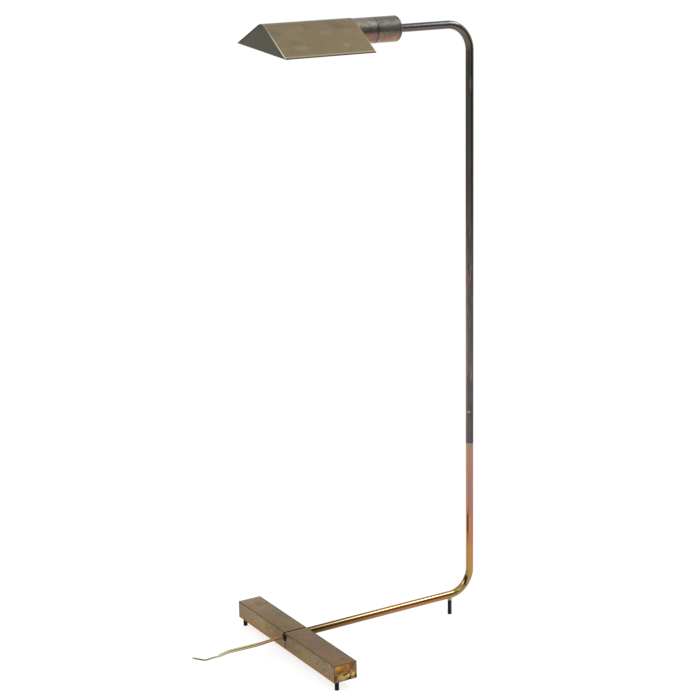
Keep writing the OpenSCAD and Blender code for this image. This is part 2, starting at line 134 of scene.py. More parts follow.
def laid(tree, tone, colour, *masks):
    """A colour laid on a tone, as far as every mask lets it."""
    cover = srgb(*colour) if isinstance(colour, tuple) else colour
    wires = {0: product(tree, *masks), 6: tone, 7: cover}
    return add_node(tree, "ShaderNodeMix", wires, data_type="RGBA").outputs[2]


def new_finish(name, **plain):
    """A material, its node tree and its shader, with the values that are the same all over."""
    finish = bpy.data.materials.new(name)
    finish.use_nodes = True
    shader = finish.node_tree.nodes["Principled BSDF"]
    for socket, value in plain.items():
        shader.inputs[socket.replace("_", " ")].default_value = value
    return finish, finish.node_tree, shader


def feed(tree, shader, **sockets):
    """What changes over the surface, led to the shader."""
    for socket, value in sockets.items():
        tree.links.new(value, shader.inputs[socket.replace("_", " ")])


def object_place(tree):
    """The point on the piece, in the part's frame."""
    return add_node(tree, "ShaderNodeTexCoord").outputs["Object"]


def known(tree, label):
    """What the points of the mesh know, under that label."""
    return add_node(tree, "ShaderNodeAttribute", attribute_name=label).outputs["Fac"]


def noise(tree, place, scale, detail):
    """A soft noise, as a value and as a colour."""
    wires = {"Vector": place, "Scale": scale, "Detail": detail}
    return add_node(tree, "ShaderNodeTexNoise", wires).outputs


def bumped(tree, height, strength, distance):
    """The normal of a surface that a height dents."""
    wires = {"Strength": strength, "Distance": distance, "Height": height}
    return add_node(tree, "ShaderNodeBump", wires).outputs["Normal"]


def stranded(tree, along, across, per_metre, slant):
    """Strands wound round a core: a wave along it that slants across it."""
    wave = counted(tree, "ADD", product(tree, along, per_metre), product(tree, across, slant))
    return spanned(tree, counted(tree, "SINE", wave), -1, 1)


def eased_route(points, steps):
    """A smooth curve through the points, with that many steps between two of them."""
    ends = [2 * points[0] - points[1]] + points + [2 * points[-1] - points[-2]]
    route = []
    for a, b, c, d in zip(ends, ends[1:], ends[2:], ends[3:]):
        for step in range(steps):
            t = step / steps
            route.append(0.5 * (2 * b + (c - a) * t + (2 * a - 5 * b + 4 * c - d) * t * t
                                + (3 * b - a - 3 * c + d) * t ** 3))
    return route + [points[-1]]


def route_length(route):
    return sum((b - a).length for a, b in zip(route, route[1:]))


def route_headings(route, first):
    found = [first]
    for before, after in zip(route, route[2:]):
        found.append((after - before).normalized())
    return found + [(route[-1] - route[-2]).normalized()]


def ways_across(heading, turn):
    """The wide and the upright way of a flex that is turned about its heading."""
    flat = upward.cross(heading).normalized()
    wide = flat * math.cos(turn) - heading.cross(flat) * math.sin(turn)
    return wide, heading.cross(wide)


def faced_out(mesh):
    """A mesh with its doubles merged and its faces turned outwards."""
    turner = bmesh.new()
    turner.from_mesh(mesh)
    bmesh.ops.remove_doubles(turner, verts=turner.verts, dist=1e-7)
    bmesh.ops.recalc_face_normals(turner, faces=turner.faces)
    turner.to_mesh(mesh)
    turner.free()
    return mesh


def solid_mesh(name, points, faces):
    """A closed mesh from points and faces."""
    mesh = bpy.data.meshes.new(name)
    mesh.from_pydata(points, [], faces)
    return faced_out(mesh)


def flex_mesh(name, route, headings, turns, slims, section):
    """A section swept along a route, one half thinned by slims. Points know how far along and across."""
    points, along, across, faces = [], [], [], []
    reach = max(x for x, y in section)
    sides = len(section)
    gone = 0.0
    for i, (point, heading, turn, slim) in enumerate(zip(route, headings, turns, slims)):
        gone += (point - route[max(i - 1, 0)]).length
        wide, upright = ways_across(heading, turn)
        for k, (x, y) in enumerate(section):
            points.append(point + (wide * x + upright * y) * (slim if x < 0 else 1.0))
            along.append(gone)
            across.append(x / reach)
            here = i * sides + k
            beside = i * sides + (k + 1) % sides
            if i:
                faces.append((here - sides, beside - sides, beside, here))
    faces.append(tuple(range(sides - 1, -1, -1)))
    faces.append(tuple(range(len(points) - sides, len(points))))
    mesh = solid_mesh(name, points, faces)
    for label, values in (("along", along), ("across", across)):
        mesh.attributes.new(label, "FLOAT", "POINT").data.foreach_set("value", values)
    return mesh


def finished_mesh(name, blank):
    """The plain mesh that an object's modifiers make. The object itself is thrown away."""
    graph = bpy.context.evaluated_depsgraph_get()
    mesh = bpy.data.meshes.new_from_object(blank.evaluated_get(graph), depsgraph=graph)
    bpy.data.objects.remove(blank)
    mesh.name = name
    return mesh


def rounded(blank, width, angle, keep_sharp=False):
    """A small round on an object's corners, where they are sharper than the angle."""
    rounder = blank.modifiers.new("edge", "BEVEL")
    rounder.width = width
    rounder.segments = 2
    rounder.limit_method = "ANGLE"
    rounder.angle_limit = math.radians(angle)
    rounder.use_clamp_overlap = False
    blank.modifiers.new("faces", "WEIGHTED_NORMAL").keep_sharp = keep_sharp


def make_piece(name, mesh, finishes, body, stands_for=(), edge=0.0):
    """A finished piece on its body. An edge gives its sharp corners a small round."""
    mesh.materials.clear()
    for finish in finishes:
        mesh.materials.append(finish)
    mesh.shade_smooth()
    if edge:
        blank = placed(name + "_blank", mesh)
        rounded(blank, edge, 50, keep_sharp=True)
        mesh = finished_mesh(name, blank)
    else:
        mesh.set_sharp_from_angle(angle=math.radians(40))
    piece = placed(name, mesh)
    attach(piece, body)
    if stands_for:
        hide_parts(*stands_for)
    return piece


upward = Vector((0, 0, 1))
bar_front_x = -0.175
tube_axis_z = 0.0343
cord_exit = Vector((bar_front_x, 0, tube_axis_z))
twin_points = [cord_exit + Vector(p) * 0.001 for p in (
    (0, 0, 0), (-6, 0, 0.8), (-12, 0.6, 1), (-18, 2, 0.2), (-24, 4.5, -1.5), (-29.5, 8, -3.8),
    (-34.5, 12.5, -6.5), (-39.5, 18, -9.5), (-44.5, 24.5, -12.7), (-49.5, 31, -15.9),
    (-54.5, 37.8, -19.2), (-60.1, 44.2, -22.3), (-66.2, 50, -25), (-72.9, 54.6, -27.5),
    (-80.2, 57.4, -29.7), (-88, 59.2, -31.5))]
twin_turn = math.radians(60)
twin_turn_from = 2
twin_turn_to = 8
twin_steps = 4
core_r = 0.00145
# The upper core was cut off on a long slant
slant_long = 0.017
slant_left = 0.3
twin_route = eased_route(twin_points, twin_steps)
twin_headings = route_headings(twin_route, Vector((-1, 0, 0)))
twin_long = route_length(twin_route)
twin_turns = []
twin_slims = []
for step in range(len(twin_route)):
    turned = (step / twin_steps - twin_turn_from) / (twin_turn_to - twin_turn_from)
    twin_turns.append(twin_turn * max(0.0, min(1.0, turned)))
    to_cut = route_length(twin_route[step:]) / slant_long
    twin_slims.append(min(1.0, slant_left + (1 - slant_left) * to_cut))
core_arc = [math.radians(a) for a in range(-140, 141, 20)]
twin_section = [(core_r + core_r * math.cos(a), core_r * math.sin(a)) for a in core_arc]
twin_section += [(-x, -y) for x, y in twin_section]

cord_gold, tree, shader = new_finish("cord_gold", IOR=1.5, Specular_IOR_Level=0.3)
along = known(tree, "along")
across = known(tree, "across")
cord_tone = banded(
    tree, along, (0.0, (148, 92, 34)), (0.016, (162, 104, 38)), (0.034, (164, 120, 50)),
    (0.06, (180, 144, 80)), (0.09, (196, 172, 118)), (0.106, (212, 202, 166)), (twin_long, (232, 229, 216)))
strands = stranded(tree, along, across, 5200.0, 9.0)
cord_tone = laid(tree, cord_tone, (132, 96, 48), strands, 0.08)
# A painted highlight runs along the back of each core, and painted shade darkens the groove and the outer
# edges
out_by = apart(tree, across)
painted_core_highlight = spanned(tree, apart(tree, out_by, 0.55), 0.04, 0.27, 0.9, 0)
cord_tone = laid(tree, cord_tone, (236, 222, 172), painted_core_highlight, spanned(tree, along, 0.012, 0.045))
painted_groove_shade = counted(tree, "MAXIMUM", spanned(tree, out_by, 0, 0.22, 1, 0), spanned(tree, out_by, 0.74, 0.96))
groove_shade_tone = banded(tree, along, (0.0, (112, 68, 26)), (0.03, (92, 64, 28)), (0.09, (88, 74, 44)),
                     (twin_long, (142, 140, 126)))
cord_tone = laid(tree, cord_tone, groove_shade_tone, painted_groove_shade, 0.9)
grime = noise(tree, object_place(tree), 160.0, 4.0)["Fac"]
cord_tone = laid(tree, cord_tone, (122, 100, 64), spanned(tree, grime, 0.5, 0.75, 0, 0.4))
# The first few millimetres are painted near-black, a painted shade where the cord leaves the bush's dark hole
cord_tone = laid(tree, cord_tone, (14, 12, 14), spanned(tree, along, 0.0022, 0.0034, 1, 0))
feed(tree, shader, Base_Color=cord_tone, Roughness=spanned(tree, grime, 0.3, 0.7, 0.28, 0.5),
     Normal=bumped(tree, strands, 0.06, 0.0002))

twin_mesh = flex_mesh("twin_cord", twin_route, twin_headings, twin_turns, twin_slims, twin_section)
twin_cord = make_piece("twin_cord", twin_mesh, [cord_gold], "base", ["cord_free"])

# Single core: the lower core of the twin carries on past the cut, bare of its mate. It lies on the
# floor in a slack S, green with verdigris in one place, and ends in a brush of frayed copper.
tail_r = 0.0012
tail_sides = 14
tail_steps = 3
tail_drop = -32.9
tail_points = [twin_points[-1] + ways_across(twin_headings[-1], twin_turn)[0] * core_r]
tail_points += [cord_exit + Vector((x, y, tail_drop)) * 0.001 for x, y in (
    (-90.3, 59.1), (-92.6, 59.4), (-95.1, 59.4), (-97.7, 59.2), (-100.4, 58.8), (-103.1, 58.4), (-105.9, 58),
    (-108.7, 57.8), (-111.1, 58.2), (-113.1, 59.5), (-114.6, 61.4), (-115.9, 63.7), (-117.4, 66),
    (-118.9, 68.1), (-120.6, 70.4), (-122.2, 72.8), (-123.9, 74.8))]
tail_route = eased_route(tail_points, tail_steps)
tail_headings = route_headings(tail_route, twin_headings[-1])
tail_count = len(tail_route)
tail_long = route_length(tail_route)
tail_section = [(tail_r * math.cos(a), tail_r * math.sin(a))
                for a in (2 * math.pi * k / tail_sides for k in range(tail_sides))]

core_copper, tree, shader = new_finish("core_copper", IOR=1.5)
along = known(tree, "along")
core_tone = banded(
    tree, along, (0.0, (206, 194, 152)), (0.008, (186, 164, 108)), (0.017, (156, 134, 76)),
    (0.021, (126, 140, 70)), (0.024, (118, 142, 76)), (0.0265, (84, 88, 62)), (0.030, (92, 76, 52)),
    (0.035, (156, 114, 62)), (tail_long, (188, 140, 90)))
twist = stranded(tree, along, known(tree, "across"), 3800.0, 4.0)
stain = noise(tree, object_place(tree), 300.0, 3.0)["Fac"]
feed(tree, shader, Base_Color=laid(tree, core_tone, (84, 60, 36), twist, 0.3),
     Roughness=spanned(tree, stain, 0.3, 0.7, 0.35, 0.6), Normal=bumped(tree, twist, 0.6, 0.0003))

tail_mesh = flex_mesh("tail_core", tail_route, tail_headings, [0.0] * tail_count, [1.0] * tail_count,
                      tail_section)
tail_core = make_piece("tail_core", tail_mesh, [core_copper], "base", ["cord_tail"])


def new_tree(name, kind, output, output_kind, **takes):
    """A node group with one output and named inputs, listed by kind. Its two ends come with it."""
    tree = bpy.data.node_groups.new(name, kind + "NodeTree")
    for input_kind, labels in takes.items():
        for label in labels:
            tree.interface.new_socket(label, in_out="INPUT", socket_type="NodeSocket" + input_kind)
    tree.interface.new_socket(output, in_out="OUTPUT", socket_type="NodeSocket" + output_kind)
    return tree, tree.nodes.new("NodeGroupInput").outputs, tree.nodes.new("NodeGroupOutput").inputs[output]


def shape(tree, kind, wires=None, **settings):
    """What a geometry node gives."""
    return add_node(tree, "GeometryNode" + kind, wires, **settings).outputs[0]


def vectored(tree, operation, first, second=(0, 0, 0)):
    """The result of a sum on one or two vectors."""
    return add_node(tree, "ShaderNodeVectorMath", {0: first, 1: second}, operation=operation).outputs[0]


def scaled(tree, vector, by):
    """A vector made longer or shorter."""
    return add_node(tree, "ShaderNodeVectorMath", {0: vector, "Scale": by}, operation="SCALE").outputs[0]


def end_shape(tree, made, finish, leave):
    """The close of a geometry tree: real meshes, in their finish."""
    real = shape(tree, "RealizeInstances", {"Geometry": made})
    tree.links.new(shape(tree, "SetMaterial", {"Geometry": real, "Material": finish}), leave)


def grown_mesh(name, tree, sizes, start=None):
    """The plain mesh that a geometry tree makes with these sizes, from a start mesh or from none."""
    grower = placed(name + "_grower", start or bpy.data.meshes.new(name + "_seed"))
    growth = grower.modifiers.new("shape", "NODES")
    growth.node_group = tree
    for item in tree.interface.items_tree:
        if item.in_out == "INPUT" and item.name in sizes:
            growth[item.identifier] = sizes[item.name]
    return faced_out(finished_mesh(name, grower))


brush_tree, take, leave = new_tree(
    "frayed_brush", "Geometry", "Geometry", "Geometry", Int=["Strands", "Seed"],
    Float=["Ring Radius", "Strand Length", "Strand Radius", "Tip Radius", "Spread"],
    Vector=["Place", "Turn"], Material=["Finish"])
strand_ring = shape(brush_tree, "MeshCircle", {"Vertices": take["Strands"], "Radius": take["Ring Radius"]})
strand = shape(brush_tree, "MeshCone", {
    "Vertices": 6, "Side Segments": 3, "Radius Top": take["Tip Radius"],
    "Radius Bottom": take["Strand Radius"], "Depth": take["Strand Length"]})
stray_way = add_node(brush_tree, "FunctionNodeRandomValue", {
    0: (-0.25, -0.25, 0.6), 1: (0.25, 0.25, 1.0), "Seed": take["Seed"]}, data_type="FLOAT_VECTOR").outputs[0]
outward = vectored(brush_tree, "NORMALIZE", shape(brush_tree, "InputPosition"))
strand_way = vectored(brush_tree, "ADD", scaled(brush_tree, outward, take["Spread"]), stray_way)
strand_turn = add_node(brush_tree, "FunctionNodeAlignRotationToVector", {"Vector": strand_way}, axis="Z")
stray_size = add_node(brush_tree, "FunctionNodeRandomValue", {2: 0.7, 3: 1.1, "Seed": take["Seed"]},
                      data_type="FLOAT").outputs[1]
brush = shape(brush_tree, "InstanceOnPoints", {
    "Points": strand_ring, "Instance": strand, "Rotation": strand_turn.outputs[0], "Scale": stray_size})
brush_placed = shape(brush_tree, "Transform", {
    "Geometry": brush, "Translation": take["Place"], "Rotation": take["Turn"]})
end_shape(brush_tree, brush_placed, take["Finish"], leave)

brush_way = (tail_headings[-1] + Vector((0, 0, 0.5))).normalized()
brush_root = 0.0006
brush_mesh = grown_mesh("tail_brush", brush_tree, {
    "Strands": 11, "Ring Radius": 0.0006, "Strand Length": 0.0036, "Strand Radius": 0.00026,
    "Tip Radius": 0.00006, "Spread": 0.4, "Seed": 4, "Place": tail_route[-1] - tail_headings[-1] * brush_root,
    "Turn": Vector(upward.rotation_difference(brush_way).to_euler()), "Finish": core_copper})
tail_brush = make_piece("tail_brush", brush_mesh, [core_copper], "base")

# Base bar: a solid brass bar, sawn and milled, drilled across its middle for the tube and slit above
# it so that the tube can be pushed in. Its faces have gone dull and taupe, darker along the edges.

# Clouds of tarnish, from a soft noise cut between two levels
clouds, take, leave = new_tree("tarnish_clouds", "Shader", "Mask", "Float", Vector=["Place"],
                               Float=["Size", "Shift", "Low", "High", "Amount"])
cloud = add_node(clouds, "ShaderNodeTexNoise", {
    "Vector": scaled(clouds, take["Place"], counted(clouds, "DIVIDE", 1.0, take["Size"])),
    "W": take["Shift"], "Scale": 1.0, "Detail": 4.0, "Roughness": 0.55}, noise_dimensions="4D").outputs["Fac"]
cloud_cut = spanned(clouds, cloud, take["Low"], take["High"], ease="SMOOTHSTEP")
clouds.links.new(product(clouds, cloud_cut, take["Amount"]), leave)

# Specks: small dark spots and pits, scattered, with a soft rim
specks, take, leave = new_tree("tarnish_specks", "Shader", "Mask", "Float", Vector=["Place"],
                               Float=["Spacing", "Share", "Reach"])
speck = add_node(specks, "ShaderNodeTexVoronoi", {
    "Vector": take["Place"], "Scale": counted(specks, "DIVIDE", 1.0, take["Spacing"])}).outputs
speck_pick = add_node(specks, "ShaderNodeSeparateColor", {"Color": speck["Color"]}).outputs[0]
speck_kept = counted(specks, "LESS_THAN", speck_pick, take["Share"])
speck_near = spanned(specks, speck["Distance"], 0, take["Reach"], 1, 0, "SMOOTHSTEP")
specks.links.new(product(specks, speck_near, speck_kept), leave)

# Spots with a place of their own, such as a pit, a stain or a worn patch
spots, take, leave = new_tree("spot_mark", "Shader", "Mask", "Float", Vector=["Place", "Middle", "Reach"])
spot_off = vectored(spots, "SUBTRACT", take["Place"], take["Middle"])
spot_far = add_node(spots, "ShaderNodeVectorMath", {0: vectored(spots, "DIVIDE", spot_off, take["Reach"])},
                    operation="LENGTH").outputs["Value"]
spots.links.new(spanned(spots, spot_far, 0.25, 1, 1, 0, "SMOOTHSTEP"), leave)

# Hair lines: fine scratches of rubbing and polishing, drawn out along one way
hairs, take, leave = new_tree("hair_lines", "Shader", "Lines", "Float", Vector=["Place", "Draw"])
hair = add_node(hairs, "ShaderNodeTexNoise", {
    "Vector": vectored(hairs, "MULTIPLY", take["Place"], take["Draw"]), "Scale": 1.0, "Detail": 3.0,
    "Roughness": 0.7}).outputs["Fac"]
hairs.links.new(hair, leave)


def parts(tree, vector):
    """A vector's x, y and z."""
    return add_node(tree, "ShaderNodeSeparateXYZ", {0: vector}).outputs


# Box edges: how near a point is to an edge of a box, where dirt stays and polish misses
edges, take, leave = new_tree("box_edges", "Shader", "Mask", "Float", Vector=["Place", "Middle", "Half"],
                              Float=["Width"])
box_out = vectored(edges, "ABSOLUTE", vectored(edges, "SUBTRACT", take["Place"], take["Middle"]))
box_left = parts(edges, vectored(edges, "SUBTRACT", take["Half"], box_out))
near_x, near_y, near_z = [spanned(edges, left, 0, take["Width"], 1, 0, "SMOOTHSTEP") for left in box_left]
nearest = counted(edges, "MINIMUM", near_x, near_y)
for one, other in ((near_y, near_z), (near_x, near_z)):
    nearest = counted(edges, "MAXIMUM", nearest, counted(edges, "MINIMUM", one, other))
edges.links.new(nearest, leave)


def effect(tree, group, **values):
    """A shared effect, set in a finish with its own values."""
    return add_node(tree, "ShaderNodeGroup", values, node_tree=group).outputs[0]


def clouded(tree, place, tone, blotches, *masks):
    """A tone with clouds on it, where the masks let them: (colour, size, shift, low, high, amount) each."""
    for colour, size, shift, low, high, amount in blotches:
        mask = effect(tree, clouds, Place=place, Size=size, Shift=shift, Low=low, High=high, Amount=amount)
        tone = laid(tree, tone, colour, mask, *masks)
    return tone


def spotted(tree, place, tone, marks):
    """A tone with spots on it: (colour, middle, reach, amount) each, in millimetres."""
    for colour, middle, reach, amount in marks:
        mask = effect(tree, spots, Place=place, Middle=Vector(middle) * 0.001, Reach=Vector(reach) * 0.001)
        tone = laid(tree, tone, colour, mask, amount)
    return tone


def ruffled(tree, place, scale, reach):
    """The place moved a little by noise, so that the edges of spots run unevenly."""
    centred = vectored(tree, "SUBTRACT", noise(tree, place, scale, 3.0)["Color"], (0.5, 0.5, 0.5))
    return vectored(tree, "ADD", place, scaled(tree, centred, reach))


def rubbed(tree, place, shader, tone, draw, gloss, bump):
    """A tone on a surface that was rubbed one way: gloss is its smoothest and its roughest."""
    lines = effect(tree, hairs, Place=place, Draw=draw)
    haze = effect(tree, clouds, Place=place, Size=0.03, Shift=7.3, Low=0.3, High=0.7, Amount=0.7)
    dulled = counted(tree, "ADD", haze, spanned(tree, lines, 0.35, 0.65, 0.0, 0.3))
    feed(tree, shader, Base_Color=tone, Roughness=spanned(tree, dulled, 0, 1, *gloss),
         Normal=bumped(tree, lines, bump, 0.0001))


bar_low, bar_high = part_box("base_bar")
bar_middle = (bar_low + bar_high) / 2
bar_half = (bar_high - bar_low) / 2
bar_end_y = bar_half.y
bar_bore_r = 0.0064
slit_half = 0.0007
bore_steps = 48
bar_edge = 0.0004

bar_brass, tree, shader = new_finish("bar_brass", Metallic=1.0, Specular_Tint=srgb(205, 192, 176))
place = object_place(tree)
x, y, z = parts(tree, place)
# The top is brown along its front and blue-grey along its back, and paler at the far end
front_strip = banded(tree, y, (-bar_end_y, (138, 113, 91)), (-0.03, (126, 110, 85)), (0.06, (139, 122, 98)),
                     (bar_end_y, (165, 144, 124)))
back_strip = banded(tree, y, (-bar_end_y, (149, 118, 95)), (-0.05, (122, 114, 107)), (0.012, (146, 126, 100)),
                    (0.08, (130, 129, 119)), (bar_end_y, (166, 148, 124)))
bar_tone = laid(tree, front_strip, back_strip, spanned(tree, x, -0.165, -0.15))
bar_tone = clouded(tree, place, bar_tone, [
    ((120, 115, 104), 0.045, 4.2, 0.46, 0.66, 0.8), ((150, 117, 104), 0.022, 1.1, 0.5, 0.66, 0.75),
    ((122, 117, 88), 0.02, 8.7, 0.52, 0.66, 0.75), ((148, 112, 76), 0.014, 2.9, 0.56, 0.7, 0.7),
    ((152, 122, 124), 0.007, 5.7, 0.54, 0.66, 0.6), ((112, 116, 98), 0.006, 9.1, 0.54, 0.66, 0.6)])
# The front and back faces are a little yellower and paler, and a painted warm shadow runs orange along the
# bottom
side_tone = banded(tree, y, (-bar_end_y, (140, 126, 104)), (-0.064, (143, 126, 98)), (-0.035, (126, 109, 86)),
                   (0.034, (124, 107, 88)), (0.07, (156, 136, 109)), (bar_end_y, (138, 120, 107)))
side_tone = clouded(tree, place, side_tone, [
    ((126, 116, 98), 0.024, 3.3, 0.45, 0.65, 0.7), ((166, 128, 96), 0.016, 6.1, 0.54, 0.68, 0.75),
    ((134, 122, 126), 0.007, 4.7, 0.52, 0.62, 0.7), ((150, 142, 98), 0.006, 7.9, 0.52, 0.62, 0.7),
    ((110, 96, 78), 0.005, 2.6, 0.54, 0.64, 0.6)])
ragged = ruffled(tree, place, 120.0, 0.006)
low_painted_shadow = spanned(tree, parts(tree, ragged)[2], bar_low.z + 0.002, bar_low.z + 0.008, 0.8, 0.0)
side_tone = laid(tree, side_tone, (164, 116, 68), low_painted_shadow)
on_side = spanned(tree, apart(tree, x, bar_middle.x), bar_half.x - 0.0012, bar_half.x - 0.0004)
bar_tone = laid(tree, bar_tone, side_tone, on_side)
# The sawn ends kept more of their gold, with orange, olive and purple heat colours and a few deep pits
end_tone = clouded(tree, place, srgb(136, 106, 62), [
    ((164, 124, 60), 0.005, 5.2, 0.46, 0.62, 0.7), ((128, 82, 60), 0.004, 9.4, 0.52, 0.64, 0.7),
    ((120, 116, 66), 0.004, 3.6, 0.56, 0.68, 0.6)])
near_end = -152.4
end_deep = 9
heat_colours = (
    ((140, 84, 46), -163, 30, 12, 3, 0.8), ((188, 142, 58), -168, 38, 9, 4.5, 0.9),
    ((172, 92, 40), -162, 34, 12, 2.6, 0.85), ((104, 102, 48), -156, 37.5, 3.6, 4, 0.85),
    ((188, 122, 60), -150.5, 37.6, 3.8, 3.4, 0.85), ((116, 74, 58), -143.5, 36, 10, 11, 0.85),
    ((132, 104, 70), -139, 33, 2.6, 9, 0.75), ((102, 54, 60), -173, 22.5, 5.5, 8, 0.85),
    ((172, 160, 94), -160, 21, 12, 6.5, 0.85), ((184, 124, 92), -145, 27.5, 4.5, 3.4, 0.7),
    ((208, 190, 124), -151, 22.5, 5, 4, 0.8), ((206, 188, 110), -141.5, 22.5, 4.5, 4, 0.8),
    ((104, 50, 42), -163, 31, 9, 2.2, 0.6), ((84, 60, 26), -168, 29, 5, 2, 0.6))
deep_pits = (
    ((24, 24, 10), -157.6, 24.2, 3, 2.4, 0.95), ((22, 24, 10), -153.6, 25.2, 3, 2.6, 0.95),
    ((48, 40, 12), -149, 27.6, 2.8, 2.2, 0.9), ((26, 26, 10), -147, 18.2, 3, 2.6, 0.95),
    ((30, 28, 10), -149.4, 16.4, 3.4, 2.4, 0.9))
for ground, marks in ((ragged, heat_colours), (place, deep_pits)):
    end_tone = spotted(tree, ground, end_tone, [
        (colour, (across, near_end, up), (wide, end_deep, high), amount)
        for colour, across, up, wide, high, amount in marks])
on_end = spanned(tree, apart(tree, y), bar_end_y - 0.0012, bar_end_y - 0.0004)
bar_tone = laid(tree, bar_tone, end_tone, on_end)
bar_rim = effect(tree, edges, Place=place, Middle=bar_middle, Half=bar_half, Width=0.0022)
bar_tone = laid(tree, bar_tone, (78, 62, 38), bar_rim, 0.7)
bar_specks = effect(tree, specks, Place=place, Spacing=0.03, Share=0.3, Reach=0.075)
bar_tone = laid(tree, bar_tone, (62, 58, 54), bar_specks, 0.6)
# The right and lower rims of the near end are green-grey, with a deep pit where they meet. The slit, its
# front end and its lips are painted dark, a painted shade in the slit. A dark streak runs down the front
# under the tube's mouth, and an orange-brown patch lies along the front's top edge beside the mouth
bar_tone = spotted(tree, place, bar_tone, [
    ((104, 110, 82), (-135, near_end, 30), (5, 2, 24), 0.9),
    ((78, 84, 70), (-148, near_end, 14.9), (22, 2, 2.2), 0.7),
    ((18, 22, 12), (-136.6, near_end, 18.6), (4.2, 9, 4.2), 0.95),
    ((92, 82, 78), (-150, -136, 42.3), (5, 6, 2), 0.5), ((104, 98, 122), (-175, -147, 40), (2, 8, 5), 0.6),
    ((82, 78, 58), (-175, -2, 21), (2, 6, 10), 0.65), ((68, 54, 38), (-175, -40, 38.8), (2, 5, 1.4), 0.75),
    ((148, 82, 36), (-175, -8, 41), (2, 9, 2.6), 0.85), ((120, 118, 122), (-172, -4, 42.3), (5, 6, 2), 0.5),
    ((30, 26, 20), (-175, 0, 41.5), (3, 3, 3), 0.9)])
# The slit's lips are painted dark: painted shade in the slit
slit_painted_shade = spanned(tree, apart(tree, y), slit_half + 0.0004, slit_half + 0.0010, 1, 0)
slit_top = spanned(tree, z, bar_high.z - 0.005, bar_high.z - 0.004)
bar_tone = laid(tree, bar_tone, (28, 24, 14), slit_painted_shade, slit_top)
rubbed(tree, place, shader, bar_tone, (900, 40, 900), (0.36, 0.5), 0.1)


def cut_through(name, outline, low, high, corner_at):
    """A flat outline drawn out from low to high. corner_at places each of its corners."""
    count = len(outline)
    points = [corner_at(a, b, far) for far in (low, high) for a, b in outline]
    faces = [tuple(range(count)), tuple(range(2 * count - 1, count - 1, -1))]
    for k in range(count):
        after = (k + 1) % count
        faces.append((k, after, count + after, count + k))
    return solid_mesh(name, points, faces)


def turned_mesh(name, profile, middle, way, sides=64, closed=True):
    """A profile of (along, radius) turned about an axis through middle, along way."""
    way = Vector(way)
    first = way.orthogonal().normalized()
    second = way.cross(first)
    points, rings, faces = [], [], []
    for far, radius in profile:
        ring = []
        for k in range(sides if radius > 1e-9 else 1):
            angle = 2 * math.pi * k / sides
            spoke = first * math.cos(angle) + second * math.sin(angle)
            ring.append(len(points))
            points.append(Vector(middle) + way * far + spoke * radius)
        rings.append(ring)
    pairs = list(zip(rings, rings[1:]))
    if closed:
        pairs.append((rings[-1], rings[0]))
    for a, b in pairs:
        for k in range(sides):
            after = (k + 1) % sides
            corners = [a[k % len(a)], a[after % len(a)], b[after % len(b)], b[k % len(b)]]
            corners = list(dict.fromkeys(corners))
            if len(corners) > 2:
                faces.append(corners)
    return solid_mesh(name, points, faces)


def joined_mesh(name, meshes):
    """Several meshes as one."""
    joiner = bmesh.new()
    for mesh in meshes:
        joiner.from_mesh(mesh)
    joined = bpy.data.meshes.new(name)
    joiner.to_mesh(joined)
    joiner.free()
    return joined


keyhole_open = math.asin(slit_half / bar_bore_r)
keyhole = [(slit_half, bar_high.z)]
for step in range(bore_steps + 1):
    angle = keyhole_open + (2 * math.pi - 2 * keyhole_open) * step / bore_steps
    keyhole.append((bar_bore_r * math.sin(angle), tube_axis_z + bar_bore_r * math.cos(angle)))
keyhole.append((-slit_half, bar_high.z))
bar_outline = [(bar_low.y, bar_low.z), (bar_high.y, bar_low.z), (bar_high.y, bar_high.z)]
bar_outline += keyhole + [(bar_low.y, bar_high.z)]
bar_mesh = cut_through("bar_outline", bar_outline, bar_low.x, bar_high.x, lambda y, z, x: (x, y, z))

grub_hole_r = 0.00255
grub_half_pitch = 0.01
drill_from = -0.002
drill_to = 0.015
drill_sides = 32
drill_profile = [(drill_from, 0), (drill_from, grub_hole_r), (drill_to, grub_hole_r), (drill_to, 0)]
drills = placed("drills", joined_mesh("drills", [
    turned_mesh("drill", drill_profile, (bar_middle.x + off, 0, bar_low.z), upward, drill_sides, False)
    for off in (-grub_half_pitch, grub_half_pitch)]))
bar_blank = placed("bar_blank", bar_mesh)
drilling = bar_blank.modifiers.new("drilling", "BOOLEAN")
drilling.operation = "DIFFERENCE"
drilling.solver = "EXACT"
drilling.object = drills
drilled_mesh = finished_mesh("drilled_bar", bar_blank)
bpy.data.objects.remove(drills)
make_piece("base_bar_brass", drilled_mesh, [bar_brass], "base", ["base_bar"], bar_edge)


# Grub screws: two steel socket screws come up from under the bar and hold the tube in its bore. They
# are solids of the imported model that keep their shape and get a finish.
def dress(finish, *nodes):
    """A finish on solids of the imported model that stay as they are."""
    for name in nodes:
        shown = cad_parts[name]
        if not shown.material_slots:
            shown.data.materials.append(finish)
        for holder in shown.material_slots:
            holder.material = finish


def clouded_finish(name, base, blotches, draw, gloss, bump, marks=(), **plain):
    """A rubbed finish of one colour, with clouds and spots of others."""
    finish, tree, shader = new_finish(name, **plain)
    place = object_place(tree)
    tone = spotted(tree, place, clouded(tree, place, srgb(*base), blotches), marks)
    rubbed(tree, place, shader, tone, draw, gloss, bump)
    return finish


dark_steel = clouded_finish("dark_steel", (96, 97, 99), [
    ((70, 70, 72), 0.004, 1.7, 0.45, 0.65, 0.8), ((118, 104, 90), 0.003, 5.5, 0.55, 0.7, 0.5)],
    (2500, 2500, 2500), (0.28, 0.45), 0.1, Metallic=1.0)
dress(dark_steel, "tube_grub_screws")

